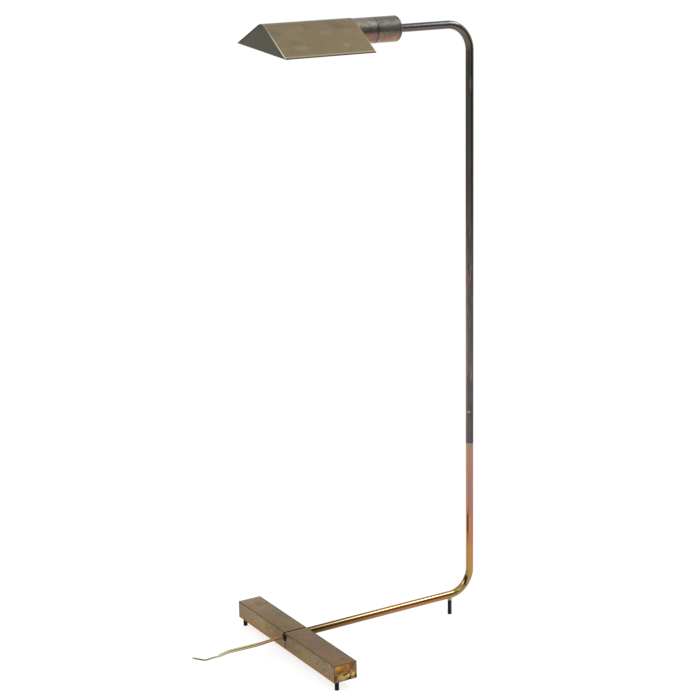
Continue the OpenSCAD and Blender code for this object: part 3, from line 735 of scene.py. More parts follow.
# Feet: black rubber sleeves pushed on brass studs, two under the front corners of the bar and one
# under the tube where it starts to bend. The rubber is slightly dusty, with a rounded lower rim.
foot_r = 0.0034
foot_round = 0.0007
foot_bore_r = 0.00205
foot_chamfer = 0.0003
foot_sides = 40
front_foot_x = -0.1669
front_foot_y = 0.1459
front_foot_h = 0.0147
rear_foot_at = (0.1396, 0, 0)
rear_collar_z = 0.02495
collar_top = 0.02895
collar_chamfer = 0.0002
stud_r = 0.002
stud_foot_z = 0.006

# The rear foot is paler and bluish down one side, a painted highlight
black_rubber = clouded_finish("black_rubber", (9, 11, 14), [
    ((18, 21, 26), 0.006, 2.2, 0.45, 0.7, 0.8), ((32, 33, 36), 0.0035, 6.6, 0.6, 0.74, 0.4)],
    (1800, 1800, 900), (0.38, 0.6), 0.2, [((102, 118, 140), (141.4, -3.3, 13), (3.6, 3.6, 26), 0.9)],
    IOR=1.5, Specular_IOR_Level=0.13)


def foot_mesh(name, height, at):
    """A sleeve with a closed foot: rounded rim, a shallow ring round the middle of its sole."""
    sole = [(foot_chamfer, 0), (foot_chamfer, foot_r * 0.45), (0.0, foot_r * 0.52)]
    rim = [(foot_round - foot_round * math.cos(a), foot_r - foot_round + foot_round * math.sin(a))
           for a in (math.radians(15 * k) for k in range(7))]
    top = [(height - foot_chamfer, foot_r), (height, foot_r - foot_chamfer), (height, foot_bore_r),
           (stud_foot_z, foot_bore_r), (stud_foot_z, 0)]
    return turned_mesh(name, sole + rim + top, at, upward, foot_sides, False)


row_tree, take, leave = new_tree(
    "row_of_pieces", "Geometry", "Geometry", "Geometry", Geometry=["Geometry"], Int=["Count"],
    Vector=["First", "Step"], Material=["Finish"])
row_line = shape(row_tree, "MeshLine", {
    "Count": take["Count"], "Start Location": take["First"], "Offset": take["Step"]}, mode="OFFSET")
row_copies = shape(row_tree, "InstanceOnPoints", {"Points": row_line, "Instance": take["Geometry"]})
end_shape(row_tree, row_copies, take["Finish"], leave)

feet_mesh = grown_mesh("front_feet", row_tree, {
    "Count": 2, "First": Vector((front_foot_x, -front_foot_y, 0)), "Step": Vector((0, 2 * front_foot_y, 0)),
    "Finish": black_rubber}, foot_mesh("front_foot", front_foot_h, (0, 0, 0)))
make_piece("front_feet", feet_mesh, [black_rubber], "base", ["front_foot_sleeves"])
make_piece("rear_foot", foot_mesh("rear_foot", rear_collar_z, rear_foot_at), [black_rubber], "base",
           ["rear_foot_sleeve"])

# The collar under the tube has gone grey
turned_brass = clouded_finish("turned_brass", (196, 158, 108), [
    ((168, 122, 84), 0.005, 1.9, 0.45, 0.65, 0.8), ((206, 176, 136), 0.004, 4.1, 0.55, 0.7, 0.7)],
    (300, 300, 4000), (0.16, 0.32), 0.1, [((146, 136, 116), (139.6, 0, 27), (16, 16, 12), 1.0)],
    Metallic=1.0)
dress(turned_brass, "front_foot_studs")
rear_stud_mesh = turned_mesh("rear_foot_stud_brass", [
    (stud_foot_z, 0), (stud_foot_z, stud_r), (rear_collar_z, stud_r),
    (rear_collar_z, foot_r - collar_chamfer), (rear_collar_z + collar_chamfer, foot_r),
    (collar_top, foot_r), (collar_top, 0)], rear_foot_at, upward, foot_sides, False)
make_piece("rear_foot_stud_brass", rear_stud_mesh, [turned_brass], "base", ["rear_foot_stud"])

# Base tube: drawn brass tube, bent cold to an L. It lies in the bar and rises as the lower post. The
# flat run is bright from handling; the upright is gold with copper and pink heat colours.
post_x = 0.1796
tube_r = 0.00635
tube_wall = 0.0012
tube_rim = 0.0002
tube_sides = 56
tube_bend_steps = 32
tube_mouth_x = -0.1736
lower_bend_r = 0.0395
joint_z = 0.2925

bent_tree, take, leave = new_tree(
    "bent_tube", "Geometry", "Geometry", "Geometry", Vector=["Start", "Corner", "End"],
    Float=["Bend Radius", "Tube Radius"], Int=["Bend Steps", "Sides"], Material=["Finish"])
straight = shape(bent_tree, "CurvePrimitiveLine", {"Start": take["Start"], "End": take["End"]})
three_points = shape(bent_tree, "ResampleCurve", {"Curve": straight, "Count": 3})
is_corner = add_node(bent_tree, "FunctionNodeCompare", {2: shape(bent_tree, "InputIndex"), 3: 1},
                     data_type="INT", operation="EQUAL").outputs[0]
cornered = shape(bent_tree, "SetPosition", {
    "Geometry": three_points, "Selection": is_corner, "Position": take["Corner"]})
bend = shape(bent_tree, "FilletCurve", {
    "Curve": cornered, "Count": take["Bend Steps"], "Radius": take["Bend Radius"]}, mode="POLY")
tube_ring = shape(bent_tree, "CurvePrimitiveCircle", {
    "Resolution": take["Sides"], "Radius": take["Tube Radius"]})
bent_skin = shape(bent_tree, "CurveToMesh", {"Curve": bend, "Profile Curve": tube_ring})
end_shape(bent_tree, bent_skin, take["Finish"], leave)


def bent_mesh(name, start, corner, end, bend_r, steps, radius, sides, finish):
    """The skin of a tube that runs from start to end, with a bend at the corner."""
    return grown_mesh(name, bent_tree, {
        "Start": Vector(start), "Corner": Vector(corner), "End": Vector(end), "Bend Radius": bend_r,
        "Bend Steps": steps, "Tube Radius": radius, "Sides": sides, "Finish": finish})


def walled(mesh):
    """A tube's skin given its wall, inwards, and a small round at its two rims."""
    mesh.shade_smooth()
    blank = placed("tube_blank", mesh)
    thickness = blank.modifiers.new("wall", "SOLIDIFY")
    thickness.thickness = tube_wall
    thickness.offset = -1
    rounded(blank, tube_rim, 60)
    return finished_mesh("walled_tube", blank)


def drawn(tree, place, scale):
    """The place squeezed along one way, so that a pattern on it is drawn out that way."""
    return add_node(tree, "ShaderNodeMapping", {"Vector": place, "Scale": scale}).outputs[0]


def strayed(tree, value, wander, reach):
    """A value that noise moves either way, by as much as reach."""
    return counted(tree, "ADD", value, spanned(tree, wander, 0.3, 0.7, -reach, reach))


def left_of_post(tree, x, y):
    """How far a point lies to the post's left as the camera sees it, for the painted light on the post's
    sides.
    """
    return counted(tree, "ADD", product(tree, counted(tree, "SUBTRACT", x, post_x), -0.82),
                   product(tree, y, 0.57))


bright_brass, tree, shader = new_finish("bright_brass", Metallic=1.0)
place = object_place(tree)
x, y, z = parts(tree, place)
drawn_up = drawn(tree, place, (1, 1, 0.12))
drawn_back = drawn(tree, place, (0.12, 1, 1))
wander = noise(tree, place, 60.0, 3.0)["Fac"]
lower_tone = banded(
    tree, strayed(tree, z, wander, 0.012), (0.02, (150, 126, 80)), (0.05, (152, 130, 78)),
    (0.075, (170, 132, 78)), (0.1, (170, 126, 76)), (0.125, (168, 116, 78)), (0.15, (166, 112, 86)),
    (0.2, (154, 113, 97)), (0.25, (160, 115, 98)), (0.27, (156, 122, 101)), (0.282, (138, 124, 100)),
    (0.31, (126, 121, 97)))
upright = spanned(tree, z, 0.07, 0.1)
lower_tone = clouded(tree, drawn_up, lower_tone, [
    ((174, 112, 96), 0.007, 3.1, 0.5, 0.64, 0.6), ((184, 144, 92), 0.006, 8.2, 0.54, 0.68, 0.6)], upright)
# The flat run is olive above, orange along its middle and pink below. A pale band high along it is a painted
# highlight, and its darkening near the bar is a painted reflection of the bar
run_tone = banded(
    tree, strayed(tree, counted(tree, "SUBTRACT", z, tube_axis_z), wander, 0.0003),
    (-tube_r, (120, 104, 72)), (-0.0041, (138, 122, 86)), (-0.0018, (162, 116, 82)), (0.0, (146, 106, 68)),
    (0.0008, (140, 104, 62)), (0.0016, (190, 116, 30)), (0.0025, (224, 126, 12)), (0.0038, (192, 104, 16)),
    (0.0045, (168, 158, 140)), (0.0051, (162, 152, 130)), (0.0058, (150, 130, 56)), (tube_r, (144, 112, 54)))
run_tone = clouded(tree, drawn_back, run_tone, [((172, 114, 76), 0.008, 5.4, 0.54, 0.68, 0.6)])
run_tone = laid(tree, run_tone, (66, 56, 28), spanned(tree, x, -0.12, 0.02, 0.88, 0.0))
lower_tone = laid(tree, lower_tone, run_tone, spanned(tree, x, 0.15, 0.13), spanned(tree, z, 0.05, 0.044))
lower_tone = clouded(tree, drawn_up, lower_tone, [((142, 114, 124), 0.0035, 6.9, 0.52, 0.66, 0.7)],
                     spanned(tree, z, 0.14, 0.19))
# The post's left side is painted a lighter gold, a painted highlight
left_painted_highlight = spanned(tree, left_of_post(tree, x, y), 0.45 * tube_r, 0.85 * tube_r, 0, 0.8)
lower_tone = laid(tree, lower_tone, (188, 146, 98), left_painted_highlight, upright)
# The inside of the bend has a dark patch, a painted dark reflection with some stain in it, and painted shade
# darkens the tube under the bar's slit
lower_tone = spotted(tree, place, lower_tone, [
    ((54, 58, 42), (170.1, -1.6, 58.6), (5.6, 5.6, 8.5), 0.9),
    ((60, 58, 38), (167, -5.2, 50), (4, 4, 7), 0.75)])
lower_tone = laid(tree, lower_tone, (28, 24, 14), spanned(tree, apart(tree, y), 0.0009, 0.0012, 1, 0),
                  counted(tree, "LESS_THAN", x, bar_high.x))
rubbed(tree, place, shader, lower_tone, (60, 300, 60), (0.05, 0.13), 0.006)

lower_corner = (post_x, 0, tube_axis_z)
base_skin = bent_mesh("base_tube_brass", (tube_mouth_x, 0, tube_axis_z), lower_corner, (post_x, 0, joint_z),
                      lower_bend_r, tube_bend_steps, tube_r, tube_sides, bright_brass)
make_piece("base_tube_brass", walled(base_skin), [bright_brass], "base", ["base_tube"])

# Cord bush: a turned black plastic bush pressed into the tube's mouth, flush with the bar's front face,
# with a hole that guides the cord.
bush_long = 0.0134
bush_r = 0.0051
bush_hole_r = 0.0025
flange_long = 0.0014
bush_sides = 48
bush_edge = 0.0002
black_plastic = clouded_finish(
    "black_plastic", (6, 6, 8), [((16, 15, 16), 0.004, 3.8, 0.5, 0.7, 0.7)], (1500, 1500, 1500),
    (0.3, 0.5), 0.12, IOR=1.5, Specular_IOR_Level=0.04)
bush_mesh = turned_mesh("cord_bush_black", [
    (bush_long, bush_hole_r), (0.0, bush_hole_r), (0.0, tube_r), (flange_long, tube_r), (flange_long, bush_r),
    (bush_long, bush_r)], cord_exit, (1, 0, 0), bush_sides)
make_piece("cord_bush_black", bush_mesh, [black_plastic], "base", ["cord_bush"], bush_edge)

# Wires inside: one length of sleeved flex in the base and up the inner tube, another in the post and
# arm. They fill the tubes' bores and don't show.
wire_r = 0.0022
wire_sides = 16
wire_bend_steps = 12
arm_z = 0.969
upper_bend_r = 0.0415
upper_corner = (post_x, 0, arm_z)
inner_top_z = 0.6228
post_wire_low_z = 0.6628
arm_wire_long = 0.1958
wire_sleeve = clouded_finish(
    "wire_sleeve", (150, 128, 86), [((116, 96, 62), 0.006, 4.4, 0.45, 0.65, 0.8)], (1200, 1200, 1200),
    (0.4, 0.6), 0.2, IOR=1.5)
base_wire_mesh = bent_mesh("base_wire_flex", cord_exit, lower_corner, (post_x, 0, inner_top_z), lower_bend_r,
                           wire_bend_steps, wire_r, wire_sides, wire_sleeve)
make_piece("base_wire_flex", base_wire_mesh, [wire_sleeve], "base", ["base_wire"])
post_wire_mesh = bent_mesh("post_wire_flex", (post_x, 0, post_wire_low_z), upper_corner,
                           (post_x - arm_wire_long, 0, arm_z), upper_bend_r, wire_bend_steps, wire_r,
                           wire_sides, wire_sleeve)
make_piece("post_wire_flex", post_wire_mesh, [wire_sleeve], "upper", ["post_wire"])

# Telescopic joint: a steel tube turns in a bronze bush in the base, held by a collar and a ring, and the
# post slides on it with a second bush and a plastic piston. It shows only when the post is raised.
inner_low_z = 0.2441
inner_r = 0.0042
inner_bore_r = 0.0032
inner_sides = 48
inner_edge = 0.0002
bearing_bronze = clouded_finish("bearing_bronze", (150, 106, 70), [
    ((122, 84, 58), 0.006, 2.6, 0.45, 0.65, 0.8), ((170, 130, 90), 0.004, 5.9, 0.55, 0.7, 0.6)],
    (400, 400, 3000), (0.25, 0.42), 0.1, Metallic=1.0)
dress(bearing_bronze, "swivel_bush", "guide_bush")
bright_steel = clouded_finish("bright_steel", (168, 168, 166), [
    ((138, 137, 134), 0.02, 3.7, 0.45, 0.65, 0.7), ((150, 140, 124), 0.012, 6.8, 0.55, 0.7, 0.5)],
    (1400, 1400, 120), (0.14, 0.3), 0.08, Metallic=1.0)
dress(bright_steel, "thrust_collar", "retaining_ring", "spindle_washer", "dimmer_wiper", "holder_spacers",
      "holder_screws", "bulb_cap")
inner_mesh = turned_mesh("inner_tube_steel", [
    (inner_low_z, inner_bore_r), (inner_top_z, inner_bore_r), (inner_top_z, inner_r), (inner_low_z, inner_r)],
    (post_x, 0, 0), upward, inner_sides)
make_piece("inner_tube_steel", inner_mesh, [bright_steel], "slide", ["inner_tube"], inner_edge)
white_plastic = clouded_finish(
    "white_plastic", (214, 208, 192), [((188, 178, 156), 0.008, 2.4, 0.45, 0.65, 0.7)], (900, 900, 900),
    (0.35, 0.5), 0.1, IOR=1.5)
dress(white_plastic, "slide_piston")

# Upper tube: drawn brass tube, bent over at the top, post and arm in one. Age has turned it dark brown,
# lighter and rubbed towards the joint, where hands take hold of it to turn and raise the lamp.
upper_low_z = 0.2928
arm_long = 0.172
brown_brass, tree, shader = new_finish("brown_brass", Metallic=1.0)
place = object_place(tree)
x, y, z = parts(tree, place)
drawn_up = drawn(tree, place, (1, 1, 0.12))
wander = noise(tree, place, 45.0, 4.0)["Fac"]
stray = product(tree, spanned(tree, wander, 0.3, 0.7, -0.008, 0.008), spanned(tree, z, 0.9, 0.96, 1, 0.02))
# The close stops across the arm's height paint narrow light and dark bands: painted highlight and shade
upper_tone = banded(
    tree, counted(tree, "ADD", z, stray), (0.29, (90, 81, 84)), (0.398, (90, 80, 80)), (0.41, (118, 100, 92)),
    (0.43, (116, 99, 92)), (0.48, (88, 80, 77)), (0.62, (78, 72, 69)), (0.9, (77, 72, 67)),
    (0.932, (88, 81, 64)), (0.963, (108, 93, 90)), (0.9665, (94, 83, 79)), (0.9685, (140, 131, 122)),
    (0.971, (78, 79, 79)), (0.9725, (102, 103, 106)), (0.9745, (70, 74, 77)), (0.98, (70, 74, 77)))
on_post = spanned(tree, z, 0.94, 0.91)
upper_tone = clouded(tree, drawn_up, upper_tone, [((62, 54, 46), 0.006, 2.2, 0.48, 0.68, 0.45)], on_post)
upper_tone = clouded(tree, place, upper_tone, [((88, 82, 88), 0.03, 6.3, 0.52, 0.68, 0.4)])
# Its lower half has thin streaks of olive, copper, violet and green, fewer of them near the joint
streaky = clouded(tree, drawn_up, upper_tone, [
    ((134, 116, 74), 0.0034, 3.9, 0.5, 0.62, 0.6), ((136, 92, 78), 0.004, 7.2, 0.52, 0.64, 0.45),
    ((98, 84, 106), 0.003, 1.6, 0.52, 0.64, 0.6), ((76, 92, 82), 0.0034, 9.3, 0.54, 0.66, 0.6)])
upper_tone = laid(tree, upper_tone, streaky, spanned(tree, z, 0.72, 0.58, 0, 0.85),
                  spanned(tree, z, 0.38, 0.46, 0.3, 1))
# Its left side is painted light and warm low down and dark brown higher up, and its right side dark and
# bluish: a painted highlight and painted shade. It has a bright fleck, a nick, and a worn patch under the
# bend
to_left = left_of_post(tree, x, y)
left_painted_light = banded(
    tree, z, (0.29, (116, 92, 88)), (0.42, (168, 144, 130)), (0.526, (150, 124, 114)), (0.606, (124, 90, 82)),
    (0.7, (44, 26, 20)), (0.92, (42, 28, 20)))
upper_tone = laid(tree, upper_tone, left_painted_light, spanned(tree, to_left, 0.45 * tube_r, 0.9 * tube_r, 0, 0.75),
                  on_post)
right_painted_shade = banded(tree, z, (0.29, (40, 49, 70)), (0.526, (54, 67, 80)), (0.66, (32, 41, 47)),
                    (0.92, (34, 58, 62)))
upper_tone = laid(tree, upper_tone, right_painted_shade,
                  spanned(tree, to_left, -0.45 * tube_r, -0.85 * tube_r, 0, 0.8), on_post)
upper_tone = spotted(tree, place, upper_tone, [
    ((170, 152, 132), (174.8, -4.1, 345.5), (4.4, 4.4, 2.4), 0.9),
    ((36, 32, 32), (173.4, 1.5, 415.5), (3.2, 3.2, 1.8), 0.8),
    ((118, 94, 80), (178, -6.3, 876), (4.5, 4.5, 16), 0.85)])
post_pits = effect(tree, specks, Place=place, Spacing=0.012, Share=0.2, Reach=0.1)
upper_tone = laid(tree, upper_tone, (142, 126, 106), post_pits, on_post, 0.4)
rubbed(tree, place, shader, upper_tone, (60, 300, 60), (0.19, 0.25), 0.003)

upper_skin = bent_mesh("upper_tube_brass", (post_x, 0, upper_low_z), upper_corner,
                       (post_x - arm_long, 0, arm_z), upper_bend_r, tube_bend_steps, tube_r,
                       tube_sides, brown_brass)
make_piece("upper_tube_brass", walled(upper_skin), [brown_brass], "upper", ["upper_tube"])

# Spindle: a hollow brass spindle soldered into the arm's end. The lamp head hangs on its journal, held by
# a spring washer and a nut.
dress(turned_brass, "arm_spindle", "spindle_nut")

# Dimmer knob: the rear section of the barrel, a turned brass cup with a rounded rear edge, which turns
# about the arm. It has gone dark above, with painted bands of shade and highlight, and copper below,
# where fingers rub it.
arm_way = (-1, 0, 0)
barrel_r = 0.0196
barrel_bore_r = 0.0183
barrel_sides = 96
barrel_edge = 0.0003
knob_at = 0.134
knob_floor_at = 0.13775
knob_end = 0.177
knob_round = 0.0035
knob_round_steps = 8
knob_hole_r = 0.00665
seam_x = post_x - knob_end

barrel_brass, tree, shader = new_finish("barrel_brass", Metallic=1.0)
place = object_place(tree)
x, y, z = parts(tree, place)
wander = noise(tree, place, 90.0, 4.0)["Fac"]
barrel_height = strayed(tree, counted(tree, "SUBTRACT", z, arm_z), wander, 0.004)
# Both sections run by height from copper below to a darker band and a paler one higher up: painted shade and
# highlight
front_tone = banded(
    tree, barrel_height, (-0.02, (168, 140, 112)), (-0.016, (158, 124, 96)), (-0.011, (146, 104, 86)),
    (-0.007, (136, 98, 88)), (-0.003, (110, 98, 90)), (0.003, (92, 91, 85)), (0.01, (122, 115, 101)),
    (0.014, (139, 133, 126)), (0.02, (114, 110, 99)))
knob_tone = banded(
    tree, barrel_height, (-0.02, (176, 152, 112)), (-0.016, (166, 136, 96)), (-0.011, (132, 106, 90)),
    (-0.007, (104, 93, 93)), (-0.003, (110, 100, 93)), (0.004, (115, 110, 99)), (0.009, (88, 87, 80)),
    (0.0135, (108, 106, 109)), (0.02, (105, 98, 84)))
barrel_tone = laid(tree, front_tone, knob_tone, spanned(tree, x, seam_x, seam_x + 0.001))
barrel_tone = clouded(tree, place, barrel_tone, [
    ((88, 84, 80), 0.012, 3.4, 0.5, 0.66, 0.55), ((150, 134, 116), 0.01, 7.1, 0.54, 0.68, 0.5),
    ((112, 108, 84), 0.005, 4.4, 0.54, 0.66, 0.5), ((84, 78, 76), 0.004, 8.3, 0.54, 0.66, 0.5)])
# Copper, violet and gold heat colours bloom on its underside
barrel_tone = clouded(tree, place, barrel_tone, [
    ((156, 104, 76), 0.007, 1.3, 0.48, 0.64, 0.7), ((108, 90, 108), 0.006, 9.6, 0.52, 0.66, 0.75),
    ((182, 140, 74), 0.004, 5.1, 0.56, 0.68, 0.8)], spanned(tree, barrel_height, -0.012, -0.004, 1, 0))
# A dark line runs round where the rear edge starts to round over, and painted shade darkens the seam
from_shoulder = apart(tree, x, post_x - knob_at - 0.0042)
barrel_tone = laid(tree, barrel_tone, (56, 54, 48), spanned(tree, from_shoulder, 0.0004, 0.0016, 0.55, 0))
from_seam = strayed(tree, apart(tree, x, seam_x - 0.0003), wander, 0.0004)
barrel_tone = laid(tree, barrel_tone, (36, 33, 30), spanned(tree, from_seam, 0.0003, 0.0009, 0.75, 0))
rubbed(tree, place, shader, barrel_tone, (700, 90, 90), (0.3, 0.4), 0.03)

knob_profile = [(knob_floor_at, barrel_bore_r), (knob_floor_at, knob_hole_r), (knob_at, knob_hole_r)]
for step in range(knob_round_steps + 1):
    angle = math.radians(90) * step / knob_round_steps
    knob_profile.append((knob_at + knob_round - knob_round * math.cos(angle),
                         barrel_r - knob_round + knob_round * math.sin(angle)))
knob_profile += [(knob_end, barrel_r), (knob_end, barrel_bore_r)]
knob_mesh = turned_mesh("dimmer_knob_brass", knob_profile, upper_corner, arm_way, barrel_sides)
make_piece("dimmer_knob_brass", knob_mesh, [barrel_brass], "knob", ["dimmer_knob"],
           barrel_edge)
dress(black_plastic, "dimmer_body")

# Front barrel: the fixed section of the barrel, a brass tube with a bulkhead that hangs on the spindle.
# It carries the lampholder inside and the shade outside.
front_at = 0.1776
front_end = 0.23995
bulkhead_at = 0.18
bulkhead_end = 0.186
journal_r = 0.00505
front_mesh = turned_mesh("front_barrel_brass", [
    (front_at, barrel_bore_r), (front_at, barrel_r), (front_end, barrel_r), (front_end, barrel_bore_r),
    (bulkhead_end, barrel_bore_r), (bulkhead_end, journal_r), (bulkhead_at, journal_r),
    (bulkhead_at, barrel_bore_r)], upper_corner, arm_way, barrel_sides)
make_piece("front_barrel_brass", front_mesh, [barrel_brass], "head", ["front_barrel"],
           barrel_edge)

# Lampholder: a porcelain body with a brass shell and contact, on two steel screws and spacers that stand
# on the bulkhead, with two leads.
porcelain = clouded_finish("porcelain", (222, 218, 208), [
    ((204, 196, 180), 0.01, 1.5, 0.45, 0.65, 0.7), ((190, 176, 150), 0.004, 5.1, 0.62, 0.74, 0.5)],
    (500, 500, 500), (0.2, 0.34), 0.06, IOR=1.5, Coat_Weight=0.6, Coat_Roughness=0.08)
dress(porcelain, "lampholder_body")
dress(turned_brass, "lampholder_shell", "lampholder_contact")
dress(wire_sleeve, "holder_leads")

# Bulb: a clear tubular bulb with a domed end, screwed into the holder. Its glass stem carries a long
# coiled filament.
glass_at = 0.2405
glass_end = 0.34355
glass_r = 0.014
glass_wall = 0.0009
glass_foot = 0.0008
stem_hole_r = 0.00705
stem_end = glass_at + 0.034
stem_sides = 40

clear_glass, tree, shader = new_finish("clear_glass", Transmission_Weight=1.0, IOR=1.46)
place = object_place(tree)
glass_tone = clouded(tree, place, srgb(250, 250, 248), [((238, 240, 238), 0.02, 2.8, 0.45, 0.7, 0.8)])
film = effect(tree, clouds, Place=place, Size=0.012, Shift=4.9, Low=0.45, High=0.75, Amount=1.0)
feed(tree, shader, Base_Color=glass_tone, Roughness=spanned(tree, film, 0, 1, 0.02, 0.09))


def domed(radius, far, start, steps=12):
    """A straight wall that ends in a half ball at far."""
    wall = [(start, radius)]
    for step in range(steps):
        angle = math.radians(90) * step / steps
        wall.append((far - radius + radius * math.sin(angle), radius * math.cos(angle)))
    return wall + [(far, 0.0)]


bulb_profile = [(glass_at, stem_hole_r), (glass_at, glass_r - glass_foot)]
bulb_profile += domed(glass_r, glass_end, glass_at + glass_foot)
bulb_profile += domed(glass_r - glass_wall, glass_end - glass_wall, glass_at + glass_wall)[::-1]
bulb_profile += [(glass_at + glass_wall, stem_hole_r)]
bulb_mesh = turned_mesh("bulb_envelope", bulb_profile, upper_corner, arm_way)
make_piece("bulb_envelope", bulb_mesh, [clear_glass], "head", ["bulb_glass"])

filament_metal = clouded_finish(
    "filament_metal", (120, 118, 114), [((86, 84, 82), 0.003, 3.9, 0.45, 0.65, 0.8)], (2000, 2000, 2000),
    (0.25, 0.4), 0.1, Metallic=1.0)
coil_tree, take, leave = new_tree(
    "filament_coil", "Geometry", "Geometry", "Geometry", Vector=["Place", "Turn"],
    Float=["Turns", "Coil Radius", "Coil Length", "Wire Radius"], Material=["Finish"])
coil = shape(coil_tree, "CurveSpiral", {
    "Resolution": 14, "Rotations": take["Turns"], "Start Radius": take["Coil Radius"],
    "End Radius": take["Coil Radius"], "Height": take["Coil Length"]})
coil_section = shape(coil_tree, "CurvePrimitiveCircle", {"Resolution": 6, "Radius": take["Wire Radius"]})
coil_wire = shape(coil_tree, "CurveToMesh", {"Curve": coil, "Profile Curve": coil_section, "Fill Caps": True})
coil_placed = shape(coil_tree, "Transform", {
    "Geometry": coil_wire, "Translation": take["Place"], "Rotation": take["Turn"]})
end_shape(coil_tree, coil_placed, take["Finish"], leave)
coil_mesh = grown_mesh("filament_coil", coil_tree, {
    "Turns": 44.0, "Coil Radius": 0.00042, "Coil Length": 0.034, "Wire Radius": 0.00011,
    "Place": Vector((post_x - stem_end, 0, arm_z)), "Turn": Vector((0, -math.pi / 2, 0)),
    "Finish": filament_metal})
make_piece("filament_coil", coil_mesh, [filament_metal], "head")
stem_mesh = turned_mesh("bulb_stem", [
    (glass_at, 0), (glass_at, 0.007), (glass_at + 0.004, 0.0058), (glass_at + 0.012, 0.0041),
    (glass_at + 0.026, 0.0036), (stem_end - 0.003, 0.0035), (stem_end, 0.0022), (stem_end, 0)],
    upper_corner, arm_way, stem_sides, False)
make_piece("bulb_stem", stem_mesh, [clear_glass], "head", ["bulb_filament"])

# Shade: one sheet of brass folded over the barrel into a tent, open below. Its outside is olive brown
# with soft clouds; the cut edges are bright on the near side, partly wear and partly a painted highlight,
# and the lower rims are dark.
shade_at = 0.21395
shade_end = 0.36555
shade_roll = math.radians(5)
shade_slope = math.radians(30)
shade_side = 0.0722555
crest_r = 0.02045
sheet_t = 0.0008
sheet_edge = 0.00012
crest_steps = 20
shade_front_x = post_x - shade_end
shade_rear_x = post_x - shade_at
rim_out = crest_r * math.sin(shade_slope) + shade_side * math.cos(shade_slope)

shade_brass, tree, shader = new_finish("shade_brass", Metallic=1.0)
place = object_place(tree)
x, y, z = parts(tree, place)
shade_tone = banded(tree, z, (0.94, (127, 118, 91)), (0.965, (128, 115, 88)), (0.985, (128, 114, 90)),
                    (0.995, (124, 110, 90)))
shade_tone = clouded(tree, place, shade_tone, [
    ((136, 126, 96), 0.026, 2.7, 0.5, 0.66, 0.7), ((116, 104, 84), 0.03, 5.8, 0.5, 0.66, 0.7),
    ((138, 114, 90), 0.018, 8.8, 0.52, 0.66, 0.6)])
shade_tone = spotted(tree, place, shade_tone, [
    ((146, 136, 115), (-149, -53, 957), (18, 10, 8), 0.5), ((154, 144, 120), (-74, -54, 956), (8, 7, 5), 0.5),
    ((146, 126, 103), (-96, -30, 973), (16, 10, 8), 0.6), ((114, 99, 78), (-64, -20, 980), (24, 9, 7), 0.5)])
shade_pits = effect(tree, specks, Place=place, Spacing=0.014, Share=0.2, Reach=0.06)
shade_tone = laid(tree, shade_tone, (92, 84, 66), shade_pits, 0.4)
# The near side's front edge is painted bright, partly wear and partly a painted highlight, more so towards
# its foot. The rear edge is paler too, a line above the lower rims is a painted highlight, and the rims
# themselves are dark red-brown
above_arm = counted(tree, "SUBTRACT", z, arm_z)
across = counted(tree, "ADD", product(tree, y, math.cos(shade_roll)),
                 product(tree, above_arm, math.sin(shade_roll)))
shade_tone = laid(tree, shade_tone, (222, 210, 176), spanned(tree, across, -0.012, -0.055, 0.15, 0.95),
                  spanned(tree, x, shade_front_x + 0.0006, shade_front_x + 0.0015, 1, 0))
shade_tone = laid(tree, shade_tone, (176, 160, 126),
                  spanned(tree, x, shade_rear_x - 0.0018, shade_rear_x - 0.0006, 0, 0.6))
out_by = apart(tree, across)
shade_tone = laid(tree, shade_tone, (184, 172, 136),
                  spanned(tree, out_by, rim_out - 0.0048, rim_out - 0.0034, 0, 0.6),
                  spanned(tree, out_by, rim_out - 0.0026, rim_out - 0.0018, 1, 0))
shade_tone = laid(tree, shade_tone, (78, 54, 44),
                  spanned(tree, out_by, rim_out - 0.0022, rim_out - 0.001, 0, 0.8))
rubbed(tree, place, shader, shade_tone, (60, 800, 800), (0.36, 0.5), 0.08)

shade_lining = clouded_finish("shade_lining", (172, 150, 106), [
    ((150, 126, 86), 0.03, 3.2, 0.48, 0.66, 0.7), ((186, 168, 126), 0.02, 6.4, 0.54, 0.7, 0.6)],
    (60, 900, 900), (0.3, 0.44), 0.08, Metallic=1.0)

# The cut edges: wear, with a painted highlight on the near side and painted shade on the far side
worn_edge_and_highlight, tree, shader = new_finish("worn_edge_and_highlight", Metallic=1.0)
place = object_place(tree)
edge_wear_and_light = banded(tree, parts(tree, place)[1], (-0.075, (210, 198, 164)), (-0.04, (170, 158, 126)),
                   (-0.008, (104, 96, 78)), (0.02, (84, 82, 70)))
edge_wear_and_light = clouded(tree, place, edge_wear_and_light, [((112, 100, 78), 0.008, 4.6, 0.52, 0.66, 0.6)])
rubbed(tree, place, shader, edge_wear_and_light, (900, 900, 900), (0.22, 0.36), 0.05)

dark_rim = clouded_finish(
    "dark_rim", (72, 60, 44), [((104, 78, 58), 0.012, 2.3, 0.48, 0.66, 0.7)], (300, 900, 900),
    (0.3, 0.45), 0.05, Metallic=1.0)


def tent_line(radius):
    """The tent's section from the near rim over the crest to the far rim, as (across, up)."""
    line = []
    for step in range(crest_steps + 1):
        angle = shade_slope * (2 * step / crest_steps - 1)
        line.append((radius * math.sin(angle), radius * math.cos(angle)))
    out = radius * math.sin(shade_slope) + shade_side * math.cos(shade_slope)
    up = radius * math.cos(shade_slope) - shade_side * math.sin(shade_slope)
    return [(-out, up)] + line + [(out, up)]


def on_shade(across, up, far):
    """A point of the shade's section, rolled about the arm and set far along it."""
    y = across * math.cos(shade_roll) - up * math.sin(shade_roll)
    z = across * math.sin(shade_roll) + up * math.cos(shade_roll)
    return (post_x - far, y, arm_z + z)


